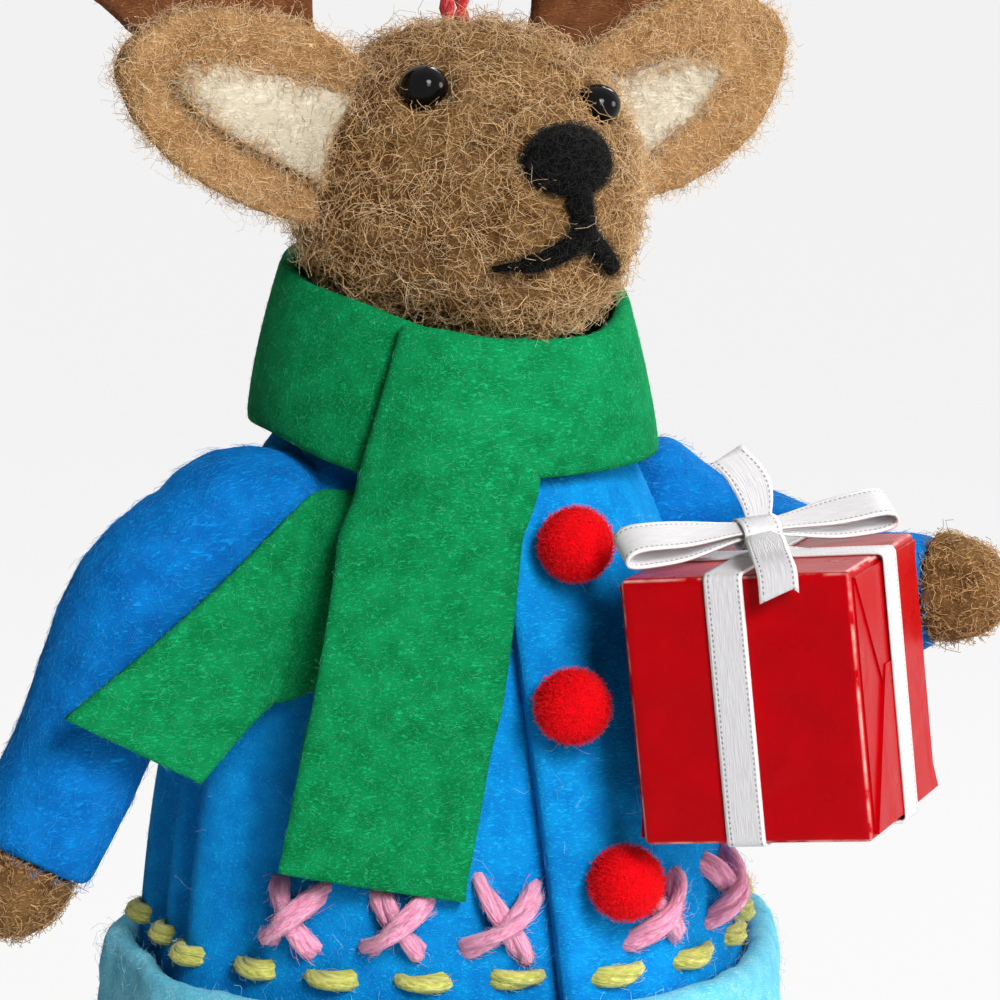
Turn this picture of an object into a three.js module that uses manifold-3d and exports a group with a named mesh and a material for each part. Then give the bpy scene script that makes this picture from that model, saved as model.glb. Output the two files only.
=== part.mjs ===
// Felted reindeer tree ornament: a stuffed wool figure in a wrapped coat, scarf and hem cuff,
// holding a wrapped gift, hung by a twine loop from a knot in its crown.
// Millimetres, +Z up, face towards -Y, the figure's own right hand towards -X.
// The origin is the inner top of the twine loop, where a hook carries the ornament.
import * as THREE from "three";
import { mergeVertices } from "three/addons/utils/BufferGeometryUtils.js";
import Module from "manifold-3d";

const wasm = await Module();
wasm.setup();

// Clearances between pieces that touch, that lie over folds, and that turn in a socket
const SEAT_GAP = 0.3;
const FOLD_GAP = 0.25;
const SOCKET_GAP = 0.5;

// Coat: one felt sheet wrapped round the stuffed body, its left edge lapped over the right
const COAT_HEIGHT = 58;
const HEM_RADIUS = 28.4;
const NECK_RADIUS = 9;
const SHOULDER_POWER = 1.7;
const BODY_DEPTH_SHARE = 0.92;
const COAT_FELT = 1.8;
const COAT_OPENING = 0.985;
const FOLD_DEPTH = 0.8;
const FOLD_COUNT = 9;
const FRONT_EDGE_HEM_ANGLE = -4;
const FRONT_EDGE_NECK_ANGLE = -14;
const LAP_ANGLE = 24;
const LAP_RUN_ANGLE = 40;
const COAT_COLUMNS = 42;
const COAT_ROWS = 8;

// Hem cuff, base and legs
const CUFF_TOP = 8;
const CUFF_HEIGHT = 12;
const CUFF_THICKNESS = 3;
const CUFF_SWELL = 0.35;
const BASE_FELT = 1.6;
const BASE_RISE = 0.3;
const LEG_SPREAD = 9.5;
const LEG_RADIUS = 6.2;
const LEG_LENGTH = 13;
const HOOF_RADIUS = 6.6;
const HOOF_HEIGHT = 6.5;
const CLEFT_WIDTH = 1.4;
const CLEFT_DEPTH = 5;
const CLEFT_HEIGHT = 4.6;

// Head and face
const HEAD_WIDTH = 32;
const HEAD_LENGTH = 29;
const CROWN_HEIGHT = 14.9;
const CHIN_DEPTH = 13.8;
const HEAD_FORWARD = 4;
const HEAD_TURN = 4;
const NECK_RISE = 4.6;
const NECK_POST_RADIUS = 6;
const CORE_TOP_SHARE = 0.93;
const MUZZLE_RADIUS = 9.6;
const MUZZLE_FORWARD = 8.6;
const MUZZLE_DROP = 2.6;
const MUZZLE_BLEND = 9;
const EYE_RADIUS = 2.1;
const RIGHT_EYE_AIM = [-9.5, -8.6, 10.7];
const LEFT_EYE_AIM = [7.5, -9.9, 7.6];
const EYE_OUT = 0;
const NOSE_AIM = [0, -18, 3.7];
const NOSE_WIDTH = 8.2;
const NOSE_HEIGHT = 6.4;
const NOSE_DEPTH = 4.6;
const PHILTRUM_WIDTH = 2.4;
const LIP_WIDTH = 2;
const LIP_SUNK_SHARE = 0.2;
const PHILTRUM_AIMS = [[0, -17, 1], [0.2, -17, -0.8], [0.4, -16.5, -2.5]];
const RIGHT_LIP_AIMS = [[0.3, -16.5, -2.2], [-2.4, -15, -3.6], [-5.9, -12.8, -4.3]];
const LEFT_LIP_AIMS = [[0.4, -16.5, -2.1], [1.9, -15.8, -3.4], [3.6, -14.8, -4.9]];

// Ears and antlers
const EAR_LENGTH = 24;
const EAR_WIDTH = 16.5;
const EAR_THICKNESS = 3;
const EAR_CUP = 2.6;
const EAR_RISE_ANGLE = 22;
const EAR_ROOT_SIDE = 12;
const EAR_ROOT_HEIGHT = 4;
const EAR_WIDEST = 0.35;
const EAR_PAD_THICKNESS = 1.1;
const EAR_PAD_WIDTH = 8.4;
const EAR_PAD_TAPER = 0.38;
const EAR_PAD_START = 0.06;
const RIGHT_PAD_END = 0.79;
const LEFT_PAD_END = 0.61;
const ANTLER_FELT = 2.2;
const ANTLER_BACK = 7;
const ANTLER_OUTLINE = [
  [9.2, 7], [11.4, 13], [11.8, 19], [11.6, 27], [13.6, 33], [16.4, 31], [17.8, 25], [19.6, 32], [22.4, 36],
  [25.4, 33], [26, 25.5], [29.4, 31], [32.8, 33.4], [34.2, 29.4], [32.2, 23.4], [36, 25], [39, 25.2],
  [38, 21.6], [33, 17.5], [27, 12.5], [20, 7.5], [14.5, 4],
];

// Twine: a doubled length tied in a knot at the crown, each point as sideways reach and height
const TWINE_DIAMETER = 1.5;
const TWINE_SIDES = 8;
const TWINE_STEPS = 40;
const KNOT_RADIUS = 1.9;
const KNOT_SHOW = 0.8;
const KNOT_FORWARD = 2;
const TWINE_LEG = [[0.85, 0], [0.95, 6], [1.5, 18], [2.9, 33], [4.4, 46], [4.9, 53], [3.6, 58.2]];
const LOOP_HEIGHT = 60;

// Arms: points run from the shoulder, across the body, front to back and up
const SHOULDER_HEIGHT = 45.2;
const SHOULDER_SINK = 0.6;
const SHOULDER_FORWARD = 2.4;
const SHOULDER_RADIUS = 6.9;
const SLEEVE_RADIUS = 6.4;
const WRIST_RADIUS = 5.8;
const RIGHT_SLEEVE = [[0, 0, 0], [-5.2, 0, 0], [-10.6, 0, -4.2], [-15.6, 0, -15.4], [-21.2, 0, -25.4]];
const LEFT_SLEEVE = [[0, 0, 0], [6.8, -4.8, -0.6], [8.6, -12.6, -2.4], [6.4, -22, -3.4]];
const FOREARM_LENGTH = 8;
const HAND_LENGTH = 7;
const HAND_RADIUS = 4.9;

// Scarf: one felt strip wound round the neck and crossed in front
const SCARF_FELT = 1.3;
const SCARF_WIDTH = 16;
const SCARF_GATHER = 0.82;
const COLLAR_BOTTOM = 52.6;
const COLLAR_HEIGHT = 17;
const COLLAR_FRONT_DIP = 5.2;
const COLLAR_DIP_ANGLE = 10;
const COLLAR_TOP_RADIUS = 14.6;
const COLLAR_BOTTOM_RADIUS = 17.3;
const COLLAR_FORWARD = 1.6;
const COLLAR_WAVE = 0.5;
const COLLAR_SEAM_ANGLE = -24;
const COLLAR_SEAM_GAP = 8;
const CROSSING_BOTTOM = 50.4;
const CROSSING_LEFT_ANGLE = -49;
const CROSSING_RIGHT_ANGLE = -6;
const CROSSING_LEAN = 5;
const CROSSING_TOP_SHARE = 0.97;
const FRONT_TAIL_END = 19;
const FRONT_TAIL_SLANT = 2;
const FRONT_TAIL_TOP_ANGLE = -29;
const FRONT_TAIL_END_ANGLE = -38.2;
const FRONT_TAIL_TOP_LIFT = 3;
const TAIL_LIFT = 0.7;
const TUCK_LOW = 34;
const TUCK_HIGH = 51.5;
const TUCK_RISE = 6;
const TAIL_SETTLE = 5;
const TUCK_RIGHT_ANGLE = -24;
const TUCK_LEFT_ANGLE = -58.5;
const SIDE_TAIL_ROOT_ANGLE = -60.5;
const SIDE_TAIL_HIGH_CORNER = [-42.6, -11, 34];
const SIDE_TAIL_LOW_CORNER = [-30.6, -12.6, 27.3];
const SIDE_TAIL_BULGE = 1.4;

// Buttons and stitches, by height and angle round the coat
const BUTTON_RADIUS = 3.5;
const BUTTON_FLAT = 0.75;
const BUTTONS = [["top_button", 45.4, 1.4], ["middle_button", 32.8, -3.6], ["bottom_button", 17.8, 3.8]];
const CROSS_HEIGHT = 14.9;
const CROSS_RISE = 5.4;
const CROSS_SPAN = 5;
const CROSS_YARN = 2;
const CROSS_ANGLES = [-54.5, -34, -15, 12.5, 32];
const STITCH_HEIGHT = 9.8;
const STITCH_LENGTH = 4.4;
const STITCH_YARN = 1.9;
const STITCH_FIRST_ANGLE = -114.5;
const STITCH_STEP_ANGLE = 17;
const STITCH_COUNT = 11;

// Gift: a foam block in red paper, tied both ways with narrow satin ribbon
const GIFT_WIDTH = 18.6;
const GIFT_DEPTH = 18.6;
const GIFT_HEIGHT = 22;
const PAPER = 0.5;
const PAPER_CORNER = 1.2;
const END_FOLD_DEPTH = 0.9;
const END_FOLD_INSET = 2.4;
const END_CREASE_INSET = 0.1;
const RIBBON_WIDTH = 3;
const RIBBON = 0.4;
const GIFT_TURN = -49;
const GIFT_ROLL = -6;
const GIFT_ALONG = -0.6;
const GIFT_DROP = 9.8;
const BOW_LOOP_LENGTH = 12.5;
const BOW_LOOP_RISE = 2.4;
const BOW_KNOT = 2;
const BOW_KNOT_FLAT = 0.75;
const BOW_TILT = 50;
const BOW_TURN = 40;
const BOW_LEFT_LIFT = 0.6;

const DEGREE = Math.PI / 180;
const V = (x, y, z) => new THREE.Vector3(x, y, z);
const { lerp, smoothstep } = THREE.MathUtils;
const steps = (count) => Array.from({ length: count + 1 }, (_, i) => i / count);

// A closed surface from points and triangles, turned to face outwards
function closedBody(points, index) {
  let volume = 0;
  for (let i = 0; i < index.length; i += 3) {
    const [a, b, c] = [points[index[i]], points[index[i + 1]], points[index[i + 2]]];
    volume += a.dot(b.clone().cross(c));
  }
  return new THREE.BufferGeometry().setFromPoints(points).setIndex(volume < 0 ? index.reverse() : index);
}

// Skins a row of rings into one body; a ring-shaped body joins its last ring to its first.
function loft(rings, ringShaped = false) {
  const count = rings[0].length;
  const points = rings.flat();
  const index = [];
  const spans = ringShaped ? rings.length : rings.length - 1;
  for (let i = 0; i < spans; i++) {
    const here = i * count;
    const next = ((i + 1) % rings.length) * count;
    for (let j = 0; j < count; j++) {
      const k = (j + 1) % count;
      index.push(here + j, here + k, next + k, here + j, next + k, next + j);
    }
  }
  if (ringShaped) return closedBody(points, index);
  const last = (rings.length - 1) * count;
  for (const [ring, start, turn] of [[rings[0], 0, 1], [rings.at(-1), last, 0]]) {
    points.push(ring.reduce((sum, p) => sum.add(p), V(0, 0, 0)).divideScalar(count));
    for (let j = 0; j < count; j++) {
      const pair = [start + ((j + turn) % count), start + ((j + 1 - turn) % count)];
      index.push(points.length - 1, ...pair);
    }
  }
  return closedBody(points, index);
}

// A sheet with thickness: two matching grids of points, walled along the four edges
function sheet(outer, inner) {
  const rows = outer.length;
  const columns = outer[0].length;
  const points = [...outer.flat(), ...inner.flat()];
  const back = rows * columns;
  const at = (i, j) => i * columns + j;
  const index = [];
  const quad = (a, b, c, d) => index.push(a, b, c, a, c, d);
  const wall = (a, b) => quad(b, a, back + a, back + b);
  for (let i = 0; i + 1 < rows; i++)
    for (let j = 0; j + 1 < columns; j++) {
      quad(at(i, j), at(i, j + 1), at(i + 1, j + 1), at(i + 1, j));
      quad(back + at(i + 1, j), back + at(i + 1, j + 1), back + at(i, j + 1), back + at(i, j));
    }
  for (let j = 0; j + 1 < columns; j++) {
    wall(at(0, j), at(0, j + 1));
    wall(at(rows - 1, j + 1), at(rows - 1, j));
  }
  for (let i = 0; i + 1 < rows; i++) {
    wall(at(i + 1, 0), at(i, 0));
    wall(at(i, columns - 1), at(i + 1, columns - 1));
  }
  return closedBody(points, index);
}

function solidOf(geometry) {
  const bare = geometry.clone();
  bare.deleteAttribute("normal");
  bare.deleteAttribute("uv");
  const merged = mergeVertices(bare);
  const triVerts = new Uint32Array(merged.index.array);
  return new wasm.Manifold(
    new wasm.Mesh({ numProp: 3, vertProperties: merged.attributes.position.array, triVerts }),
  );
}

function geometryOf(solid) {
  const made = solid.getMesh();
  const position = new THREE.BufferAttribute(made.vertProperties, 3);
  const index = new THREE.BufferAttribute(made.triVerts, 1);
  return new THREE.BufferGeometry().setAttribute("position", position).setIndex(index);
}

function cut(geometry, ...tools) {
  return geometryOf(tools.reduce((left, tool) => left.subtract(solidOf(tool)), solidOf(geometry)));
}

function join(...geometries) {
  return geometryOf(geometries.map(solidOf).reduce((sum, solid) => sum.add(solid)));
}

function ball(radius, centre, around, down) {
  return new THREE.SphereGeometry(radius, around, down).translate(...centre);
}

// A lathe body stood upright on the Z axis, its profile given as radius and height
function turned(profile, sides) {
  const points = profile.map(([radius, height]) => new THREE.Vector2(radius, height));
  return new THREE.LatheGeometry(points, sides).rotateX(Math.PI / 2);
}

// A limb along a curve, its radius given at each share of its length; it may start as a half ball.
function limb(curve, radiusAt, count, sides, startBall = 0) {
  const frames = curve.computeFrenetFrames(count);
  const ring = (centre, radius, i) => Array.from({ length: sides }, (_, j) => {
    const turn = (j / sides) * 2 * Math.PI;
    const across = frames.normals[i].clone().multiplyScalar(Math.cos(turn));
    across.addScaledVector(frames.binormals[i], Math.sin(turn));
    return across.multiplyScalar(radius).add(centre);
  });
  const dome = startBall === 0 ? [] : [-75, -50, -25].map((rise) => {
    const back = frames.tangents[0].clone().multiplyScalar(startBall * Math.sin(rise * DEGREE));
    return ring(back.add(curve.getPointAt(0)), startBall * Math.cos(rise * DEGREE), 0);
  });
  return loft([...dome, ...steps(count).map((t, i) => ring(curve.getPointAt(t), radiusAt(t), i))]);
}

// A flat ribbon along a curve, its width lying along one direction
function ribbon(curve, across, count) {
  const side = across.clone().normalize();
  const grid = (share) => steps(count).map((t) => {
    const normal = curve.getTangentAt(t).cross(side).normalize().multiplyScalar(RIBBON * share);
    const centre = curve.getPointAt(t).add(normal);
    return [-0.5, 0.5].map((edge) => centre.clone().addScaledVector(side, RIBBON_WIDTH * edge));
  });
  return sheet(grid(0.5), grid(-0.5));
}

const path = (points) => new THREE.CatmullRomCurve3(points.map((p) => V(...p)));

const finish = (color, roughness) => new THREE.MeshStandardMaterial({ color, roughness, metalness: 0 });
const BROWN_WOOL = finish(0x8f7350, 0.95);
const CREAM_WOOL = finish(0xddd6c4, 0.95);
const BLACK_WOOL = finish(0x151515, 0.9);
const BLACK_BEAD = finish(0x050505, 0.12);
const ANTLER_BROWN = finish(0x7d4526, 0.9);
const HOOF_WOOL = finish(0x4a3320, 0.95);
const BLUE_FELT = finish(0x0a5fc0, 0.9);
const BLUE_WOOL = finish(0x0a5bb8, 0.95);
const PALE_BLUE_WOOL = finish(0x8fdcf2, 0.95);
const STUFFING = finish(0xe8e2d4, 0.95);
const GREEN_FELT = finish(0x0b8a45, 0.9);
const RED_WOOL = finish(0xe0101c, 0.95);
const RED_PAPER = finish(0xb80010, 0.3);
const WHITE_FOAM = finish(0xf0ede6, 0.8);
const SATIN = finish(0xf4f1ec, 0.35);
const PINK_YARN = finish(0xe88fb0, 0.9);
const LIME_YARN = finish(0xd9dc7a, 0.9);
const RED_TWINE = finish(0xc8443c, 0.85);

const figure = new THREE.Group();
function piece(name, geometry, material, parent = figure) {
  const mesh = new THREE.Mesh(geometry, material);
  mesh.name = name;
  parent.add(mesh);
}

// The coat's mean radius at a height above the hem
function coatRadius(z) {
  const share = Math.min(Math.max(z / COAT_HEIGHT, 0), COAT_OPENING);
  return NECK_RADIUS + (HEM_RADIUS - NECK_RADIUS) * Math.sqrt(1 - share ** SHOULDER_POWER);
}

// A place on the body, by the angle from its front towards its own left hand
function bodyPoint(angle, z, offset = 0) {
  const radius = coatRadius(z);
  const across = (radius + offset) * Math.sin(angle * DEGREE);
  return V(across, -(radius * BODY_DEPTH_SHARE + offset) * Math.cos(angle * DEGREE), z);
}

// Soft folds hang from the shoulders at the sides and back and die out towards the front.
function fold(angle, z) {
  const fromFront = Math.abs(((angle + 540) % 360) - 180);
  const hang = Math.sqrt(1 - Math.min(Math.max(z / COAT_HEIGHT, 0), 1));
  return FOLD_DEPTH * hang * smoothstep(fromFront, 40, 90) * Math.cos(FOLD_COUNT * angle * DEGREE);
}

const frontEdge = (z) => lerp(FRONT_EDGE_HEM_ANGLE, FRONT_EDGE_NECK_ANGLE, z / COAT_HEIGHT);

// How far the lapped layer stands out, by the angle past its free edge
function lap(past) {
  if (past < 0) return 0;
  return (COAT_FELT + SEAT_GAP) * (1 - smoothstep(past, LAP_ANGLE, LAP_ANGLE + LAP_RUN_ANGLE));
}

const coatSkin = (angle, z) => fold(angle, z) + lap(angle - frontEdge(z));

// The coat's outward direction at a place, for what is stitched or glued there
function coatNormal(angle, z) {
  const along = bodyPoint(angle + 1, z).sub(bodyPoint(angle - 1, z));
  const up = bodyPoint(angle, z + 1).sub(bodyPoint(angle, z - 1));
  return along.cross(up).normalize();
}

const shoulderAcross = coatRadius(SHOULDER_HEIGHT) + SHOULDER_SINK;
const rightShoulder = V(-shoulderAcross, -SHOULDER_FORWARD, SHOULDER_HEIGHT);
const leftShoulder = V(shoulderAcross, -SHOULDER_FORWARD, SHOULDER_HEIGHT);
const socketRadius = SHOULDER_RADIUS + SOCKET_GAP;
const shoulderSockets = [rightShoulder, leftShoulder].map((place) => ball(socketRadius, place, 18, 10));

function coatSheet() {
  const top = COAT_OPENING * COAT_HEIGHT;
  const grid = (depth) => steps(COAT_ROWS).map((t) => steps(COAT_COLUMNS).map((share) => {
    const z = top * t ** 0.8;
    const past = (360 + LAP_ANGLE) * share;
    const angle = frontEdge(z) + past;
    return bodyPoint(angle, z, fold(angle, z) + lap(past) - depth);
  }));
  return sheet(grid(0), grid(COAT_FELT));
}

const coreInset = COAT_FELT + FOLD_DEPTH + SEAT_GAP;
const ringOf = (sides, pointAt) => Array.from({ length: sides }, (_, j) => pointAt((j / sides) * 360));

// The stuffed body fills the coat and ends in a neck post under the head.
function bodyCore() {
  const low = BASE_RISE + BASE_FELT + SEAT_GAP;
  const shoulder = CORE_TOP_SHARE * COAT_HEIGHT;
  const sides = 28;
  const post = (z, radius) => ringOf(sides, (angle) => {
    return V(radius * Math.sin(angle * DEGREE), -radius * Math.cos(angle * DEGREE), z);
  });
  const trunk = steps(8).map((t) => {
    const z = lerp(low, shoulder, t);
    return ringOf(sides, (angle) => bodyPoint(angle, z, -coreInset));
  });
  const top = COAT_HEIGHT + NECK_RISE - SEAT_GAP;
  const neck = [post(COAT_HEIGHT, NECK_POST_RADIUS), post(top, NECK_POST_RADIUS * 0.7)];
  return loft([...trunk, ...neck]);
}

function baseFelt() {
  const rim = (z) => ringOf(36, (angle) => bodyPoint(angle, z, -coreInset));
  return loft([rim(BASE_RISE), rim(BASE_RISE + BASE_FELT)]);
}

// The cuff is a thick felted roll; its section is given as shares of its thickness and height.
const CUFF_SECTION = [
  [0, 0.1], [0.3, 0], [0.75, 0.02], [1, 0.3], [1, 0.72], [0.8, 0.96], [0.4, 1], [0, 0.94],
];
function hemCuff() {
  const sides = 44;
  const oneStep = 360 / sides;
  const rings = ringOf(sides, (turn) => {
    const angle = turn - 180;
    const past = angle - frontEdge(0);
    const overLap = Math.max(lap(past), lap(past + oneStep));
    return CUFF_SECTION.map(([out, up]) => {
      const z = CUFF_TOP - CUFF_HEIGHT * (1 - up);
      const swell = CUFF_SWELL * out * Math.sin(5 * angle * DEGREE);
      const inner = overLap + fold(angle, z) + SEAT_GAP + FOLD_GAP;
      return bodyPoint(angle, z, inner + CUFF_THICKNESS * out + swell);
    });
  });
  return loft(rings, true);
}

function buildBody() {
  piece("body_core", cut(bodyCore(), ...shoulderSockets), STUFFING);
  piece("coat", cut(coatSheet(), ...shoulderSockets), BLUE_FELT);
  piece("base_felt", baseFelt(), BLUE_FELT);
  piece("hem_cuff", hemCuff(), PALE_BLUE_WOOL);
}

// Short stuffed legs end in cloven hooves of darker wool.
function buildLegs() {
  const sides = 18;
  const top = BASE_RISE - SEAT_GAP;
  const ankle = top - LEG_LENGTH;
  const hoofTop = ankle - SEAT_GAP;
  const sole = hoofTop - HOOF_HEIGHT;
  const leg = [
    [0, ankle], [LEG_RADIUS * 0.84, ankle], [LEG_RADIUS * 0.92, ankle + 0.3 * LEG_LENGTH],
    [LEG_RADIUS, top - 0.2 * LEG_LENGTH], [LEG_RADIUS * 0.94, top], [0, top],
  ];
  const hoof = [
    [0, sole], [HOOF_RADIUS * 0.86, sole], [HOOF_RADIUS, sole + 0.2 * HOOF_HEIGHT],
    [HOOF_RADIUS * 0.96, sole + 0.55 * HOOF_HEIGHT], [HOOF_RADIUS * 0.84, hoofTop], [0, hoofTop],
  ];
  const cleft = new THREE.BoxGeometry(CLEFT_WIDTH, CLEFT_DEPTH, 2 * CLEFT_HEIGHT);
  cleft.translate(0, -HOOF_RADIUS, sole);
  for (const [side, x] of [["right", -LEG_SPREAD], ["left", LEG_SPREAD]]) {
    piece(`${side}_leg`, turned(leg, sides).translate(x, 0, 0), BROWN_WOOL);
    piece(`${side}_foot_hoof`, cut(turned(hoof, sides), cleft).translate(x, 0, 0), HOOF_WOOL);
  }
}

// The middle of a pom-pom that is glued to the coat at a height and angle
function buttonCentre(z, angle) {
  const out = coatSkin(angle, z) + SEAT_GAP + FOLD_GAP / 2 + BUTTON_RADIUS * BUTTON_FLAT;
  return bodyPoint(angle, z).addScaledVector(coatNormal(angle, z), out);
}

// Three pom-pom buttons are glued down the lapped edge.
function buildButtons() {
  const seat = -BUTTON_RADIUS * BUTTON_FLAT;
  const flat = Math.sqrt(BUTTON_RADIUS ** 2 - seat ** 2);
  const arc = steps(9).map((t) => {
    const rise = lerp(-Math.asin(BUTTON_FLAT), Math.PI / 2, t);
    return [BUTTON_RADIUS * Math.cos(rise), BUTTON_RADIUS * Math.sin(rise)];
  });
  const profile = [[0, seat], [flat, seat], ...arc.slice(1, -1), [0, BUTTON_RADIUS]];
  for (const [name, z, angle] of BUTTONS) {
    const turn = new THREE.Quaternion().setFromUnitVectors(V(0, 0, 1), coatNormal(angle, z));
    const pompom = turned(profile, 14).applyQuaternion(turn);
    piece(name, pompom.translate(...buttonCentre(z, angle)), RED_WOOL);
  }
}

// A length of yarn lying on the coat, from one angle and height to another
function yarnOnCoat(from, to, diameter, hump) {
  const points = steps(4).map((t) => {
    const angle = lerp(from[0], to[0], t);
    const z = lerp(from[1], to[1], t);
    const rise = diameter / 2 + SEAT_GAP + FOLD_GAP + hump * Math.sin(Math.PI * t);
    return bodyPoint(angle, z, coatSkin(angle, z) + rise);
  });
  const end = 0.6;
  const radiusAt = (t) => (diameter / 2) * (t === 0 || t === 1 ? end : 1);
  return limb(new THREE.CatmullRomCurve3(points), radiusAt, 4, 6);
}

function buildStitches() {
  const degreesPer = (length, z) => length / coatRadius(z) / DEGREE;
  const half = degreesPer(CROSS_SPAN, CROSS_HEIGHT) / 2;
  const low = CROSS_HEIGHT - CROSS_RISE / 2;
  const high = CROSS_HEIGHT + CROSS_RISE / 2;
  const buttons = BUTTONS.map(([, z, angle]) => {
    return ball(BUTTON_RADIUS + SEAT_GAP, buttonCentre(z, angle), 14, 9);
  });
  CROSS_ANGLES.forEach((angle, i) => {
    const under = yarnOnCoat([angle - half, high], [angle + half, low], CROSS_YARN, 0);
    const over = yarnOnCoat([angle - half, low], [angle + half, high], CROSS_YARN, CROSS_YARN / 2);
    piece(`cross_stitch_${i + 1}`, cut(join(under, over), ...buttons), PINK_YARN);
  });
  const reach = degreesPer(STITCH_LENGTH, STITCH_HEIGHT) / 2;
  for (let i = 0; i < STITCH_COUNT; i++) {
    const angle = STITCH_FIRST_ANGLE + i * STITCH_STEP_ANGLE;
    const ends = [angle - reach, angle + reach].map((a) => [a, STITCH_HEIGHT]);
    piece(`running_stitch_${i + 1}`, yarnOnCoat(...ends, STITCH_YARN, 0), LIME_YARN);
  }
}

const headCentre = V(0, -HEAD_FORWARD, COAT_HEIGHT + NECK_RISE + CHIN_DEPTH);
const headGroup = new THREE.Group();
headGroup.position.copy(headCentre);
headGroup.rotation.z = HEAD_TURN * DEGREE;
figure.add(headGroup);

// Distance from the head's centre to its surface: an egg-shaped skull with a round muzzle
function headReach(aim) {
  const upright = aim.z > 0 ? CROWN_HEIGHT : CHIN_DEPTH;
  const skull = 1 / Math.hypot(aim.x / (HEAD_WIDTH / 2), aim.y / (HEAD_LENGTH / 2), aim.z / upright);
  const muzzle = V(0, -MUZZLE_FORWARD, -MUZZLE_DROP);
  const along = aim.dot(muzzle);
  const inside = along ** 2 - muzzle.lengthSq() + MUZZLE_RADIUS ** 2;
  const snout = inside > 0 ? Math.max(along + Math.sqrt(inside), 0) : 0;
  return (skull ** MUZZLE_BLEND + snout ** MUZZLE_BLEND) ** (1 / MUZZLE_BLEND);
}

function headPoint(aim, offset = 0) {
  const direction = V(...aim).normalize();
  return direction.clone().multiplyScalar(headReach(direction) + offset);
}

function headShape(offset) {
  const geometry = new THREE.SphereGeometry(1, 28, 18);
  const position = geometry.attributes.position;
  for (let i = 0; i < position.count; i++) {
    const p = headPoint(V().fromBufferAttribute(position, i), offset);
    position.setXYZ(i, p.x, p.y, p.z);
  }
  return geometry;
}

const crownUnderKnot = headPoint([0, HEAD_FORWARD - KNOT_FORWARD, CROWN_HEIGHT]);
const knotHeight = headCentre.z + crownUnderKnot.z + KNOT_SHOW - KNOT_RADIUS;
const knotCentre = V(0, -KNOT_FORWARD, knotHeight);
const headClear = headShape(SEAT_GAP);

function noseShape(grow) {
  const seat = headPoint(NOSE_AIM);
  const nose = new THREE.SphereGeometry(1, 16, 10);
  nose.scale(NOSE_WIDTH / 2 + grow, NOSE_DEPTH / 2 + grow, NOSE_HEIGHT / 2 + grow);
  return nose.translate(...seat);
}

function mouthShape() {
  const strand = (aims, width) => {
    const points = aims.map((aim) => headPoint(aim, width * LIP_SUNK_SHARE));
    return limb(new THREE.CatmullRomCurve3(points), (t) => (width / 2) * (1 - 0.2 * t), 4, 6);
  };
  const lips = [RIGHT_LIP_AIMS, LEFT_LIP_AIMS].map((aims) => strand(aims, LIP_WIDTH));
  return join(strand(PHILTRUM_AIMS, PHILTRUM_WIDTH), ...lips);
}

function buildHead() {
  const eyes = [["right_eye", RIGHT_EYE_AIM], ["left_eye", LEFT_EYE_AIM]];
  const eyeAt = (aim) => headPoint(aim, EYE_OUT);
  const sockets = eyes.map(([, aim]) => ball(EYE_RADIUS + SEAT_GAP, eyeAt(aim), 12, 8));
  const knotHere = knotCentre.clone().sub(headCentre).applyAxisAngle(V(0, 0, 1), -HEAD_TURN * DEGREE);
  const dimple = ball(KNOT_RADIUS + SOCKET_GAP, knotHere, 14, 9);
  piece("head", cut(headShape(0), ...sockets, dimple), BROWN_WOOL, headGroup);
  for (const [name, aim] of eyes) piece(name, ball(EYE_RADIUS, eyeAt(aim), 12, 8), BLACK_BEAD, headGroup);
  piece("nose", cut(noseShape(0), headClear), BLACK_WOOL, headGroup);
  piece("mouth", cut(mouthShape(), headClear, noseShape(SEAT_GAP)), BLACK_WOOL, headGroup);
}

// An ear's half width along its length: broad at the root, rounded to a point at the tip
function earHalf(share) {
  const past = (share - EAR_WIDEST) / (1 - EAR_WIDEST);
  const near = 1 - 0.2 * ((EAR_WIDEST - share) / EAR_WIDEST) ** 2;
  return (EAR_WIDTH / 2) * (share < EAR_WIDEST ? near : Math.sqrt(Math.max(1 - past ** 2, 0)));
}

// A place on an ear, by the share along it, the distance across it and the height off its middle
function earPoint(side, share, across, height) {
  const rise = EAR_RISE_ANGLE * DEGREE;
  const out = EAR_ROOT_SIDE + EAR_LENGTH * share * Math.cos(rise) - across * Math.sin(rise);
  const up = EAR_ROOT_HEIGHT + EAR_LENGTH * share * Math.sin(rise) + across * Math.cos(rise);
  const cup = EAR_CUP * (across / (EAR_WIDTH / 2)) ** 2;
  return V(side * out, -cup - height, up);
}

const earFace = (edge) => (EAR_THICKNESS / 2) * Math.sqrt(1 - 0.85 * edge ** 2);

function earShell(side) {
  const edges = steps(8).map((t) => 2 * t - 1);
  const shares = steps(9).map((t) => 0.985 * t ** 0.85);
  const grid = (face) => shares.map((share) => edges.map((edge) => {
    return earPoint(side, share, edge * earHalf(share), face * earFace(edge));
  }));
  return sheet(grid(1), grid(-1));
}

// The cream pad runs out from the head in the cup of the ear and tapers to a blunt end.
function earPad(side, end) {
  const edges = steps(6).map((t) => 2 * t - 1);
  const padHalf = (t) => (EAR_PAD_WIDTH / 2) * (1 - EAR_PAD_TAPER * t) * Math.sqrt(1 - 0.9 * t ** 6);
  const grid = (thickness) => steps(6).map((t) => edges.map((edge) => {
    const share = lerp(EAR_PAD_START, end, t);
    const across = edge * padHalf(t);
    const seat = earFace(across / earHalf(share)) + SEAT_GAP;
    return earPoint(side, share, across, seat + thickness * Math.sqrt(1 - 0.8 * edge ** 2));
  }));
  return sheet(grid(EAR_PAD_THICKNESS), grid(0));
}

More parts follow.
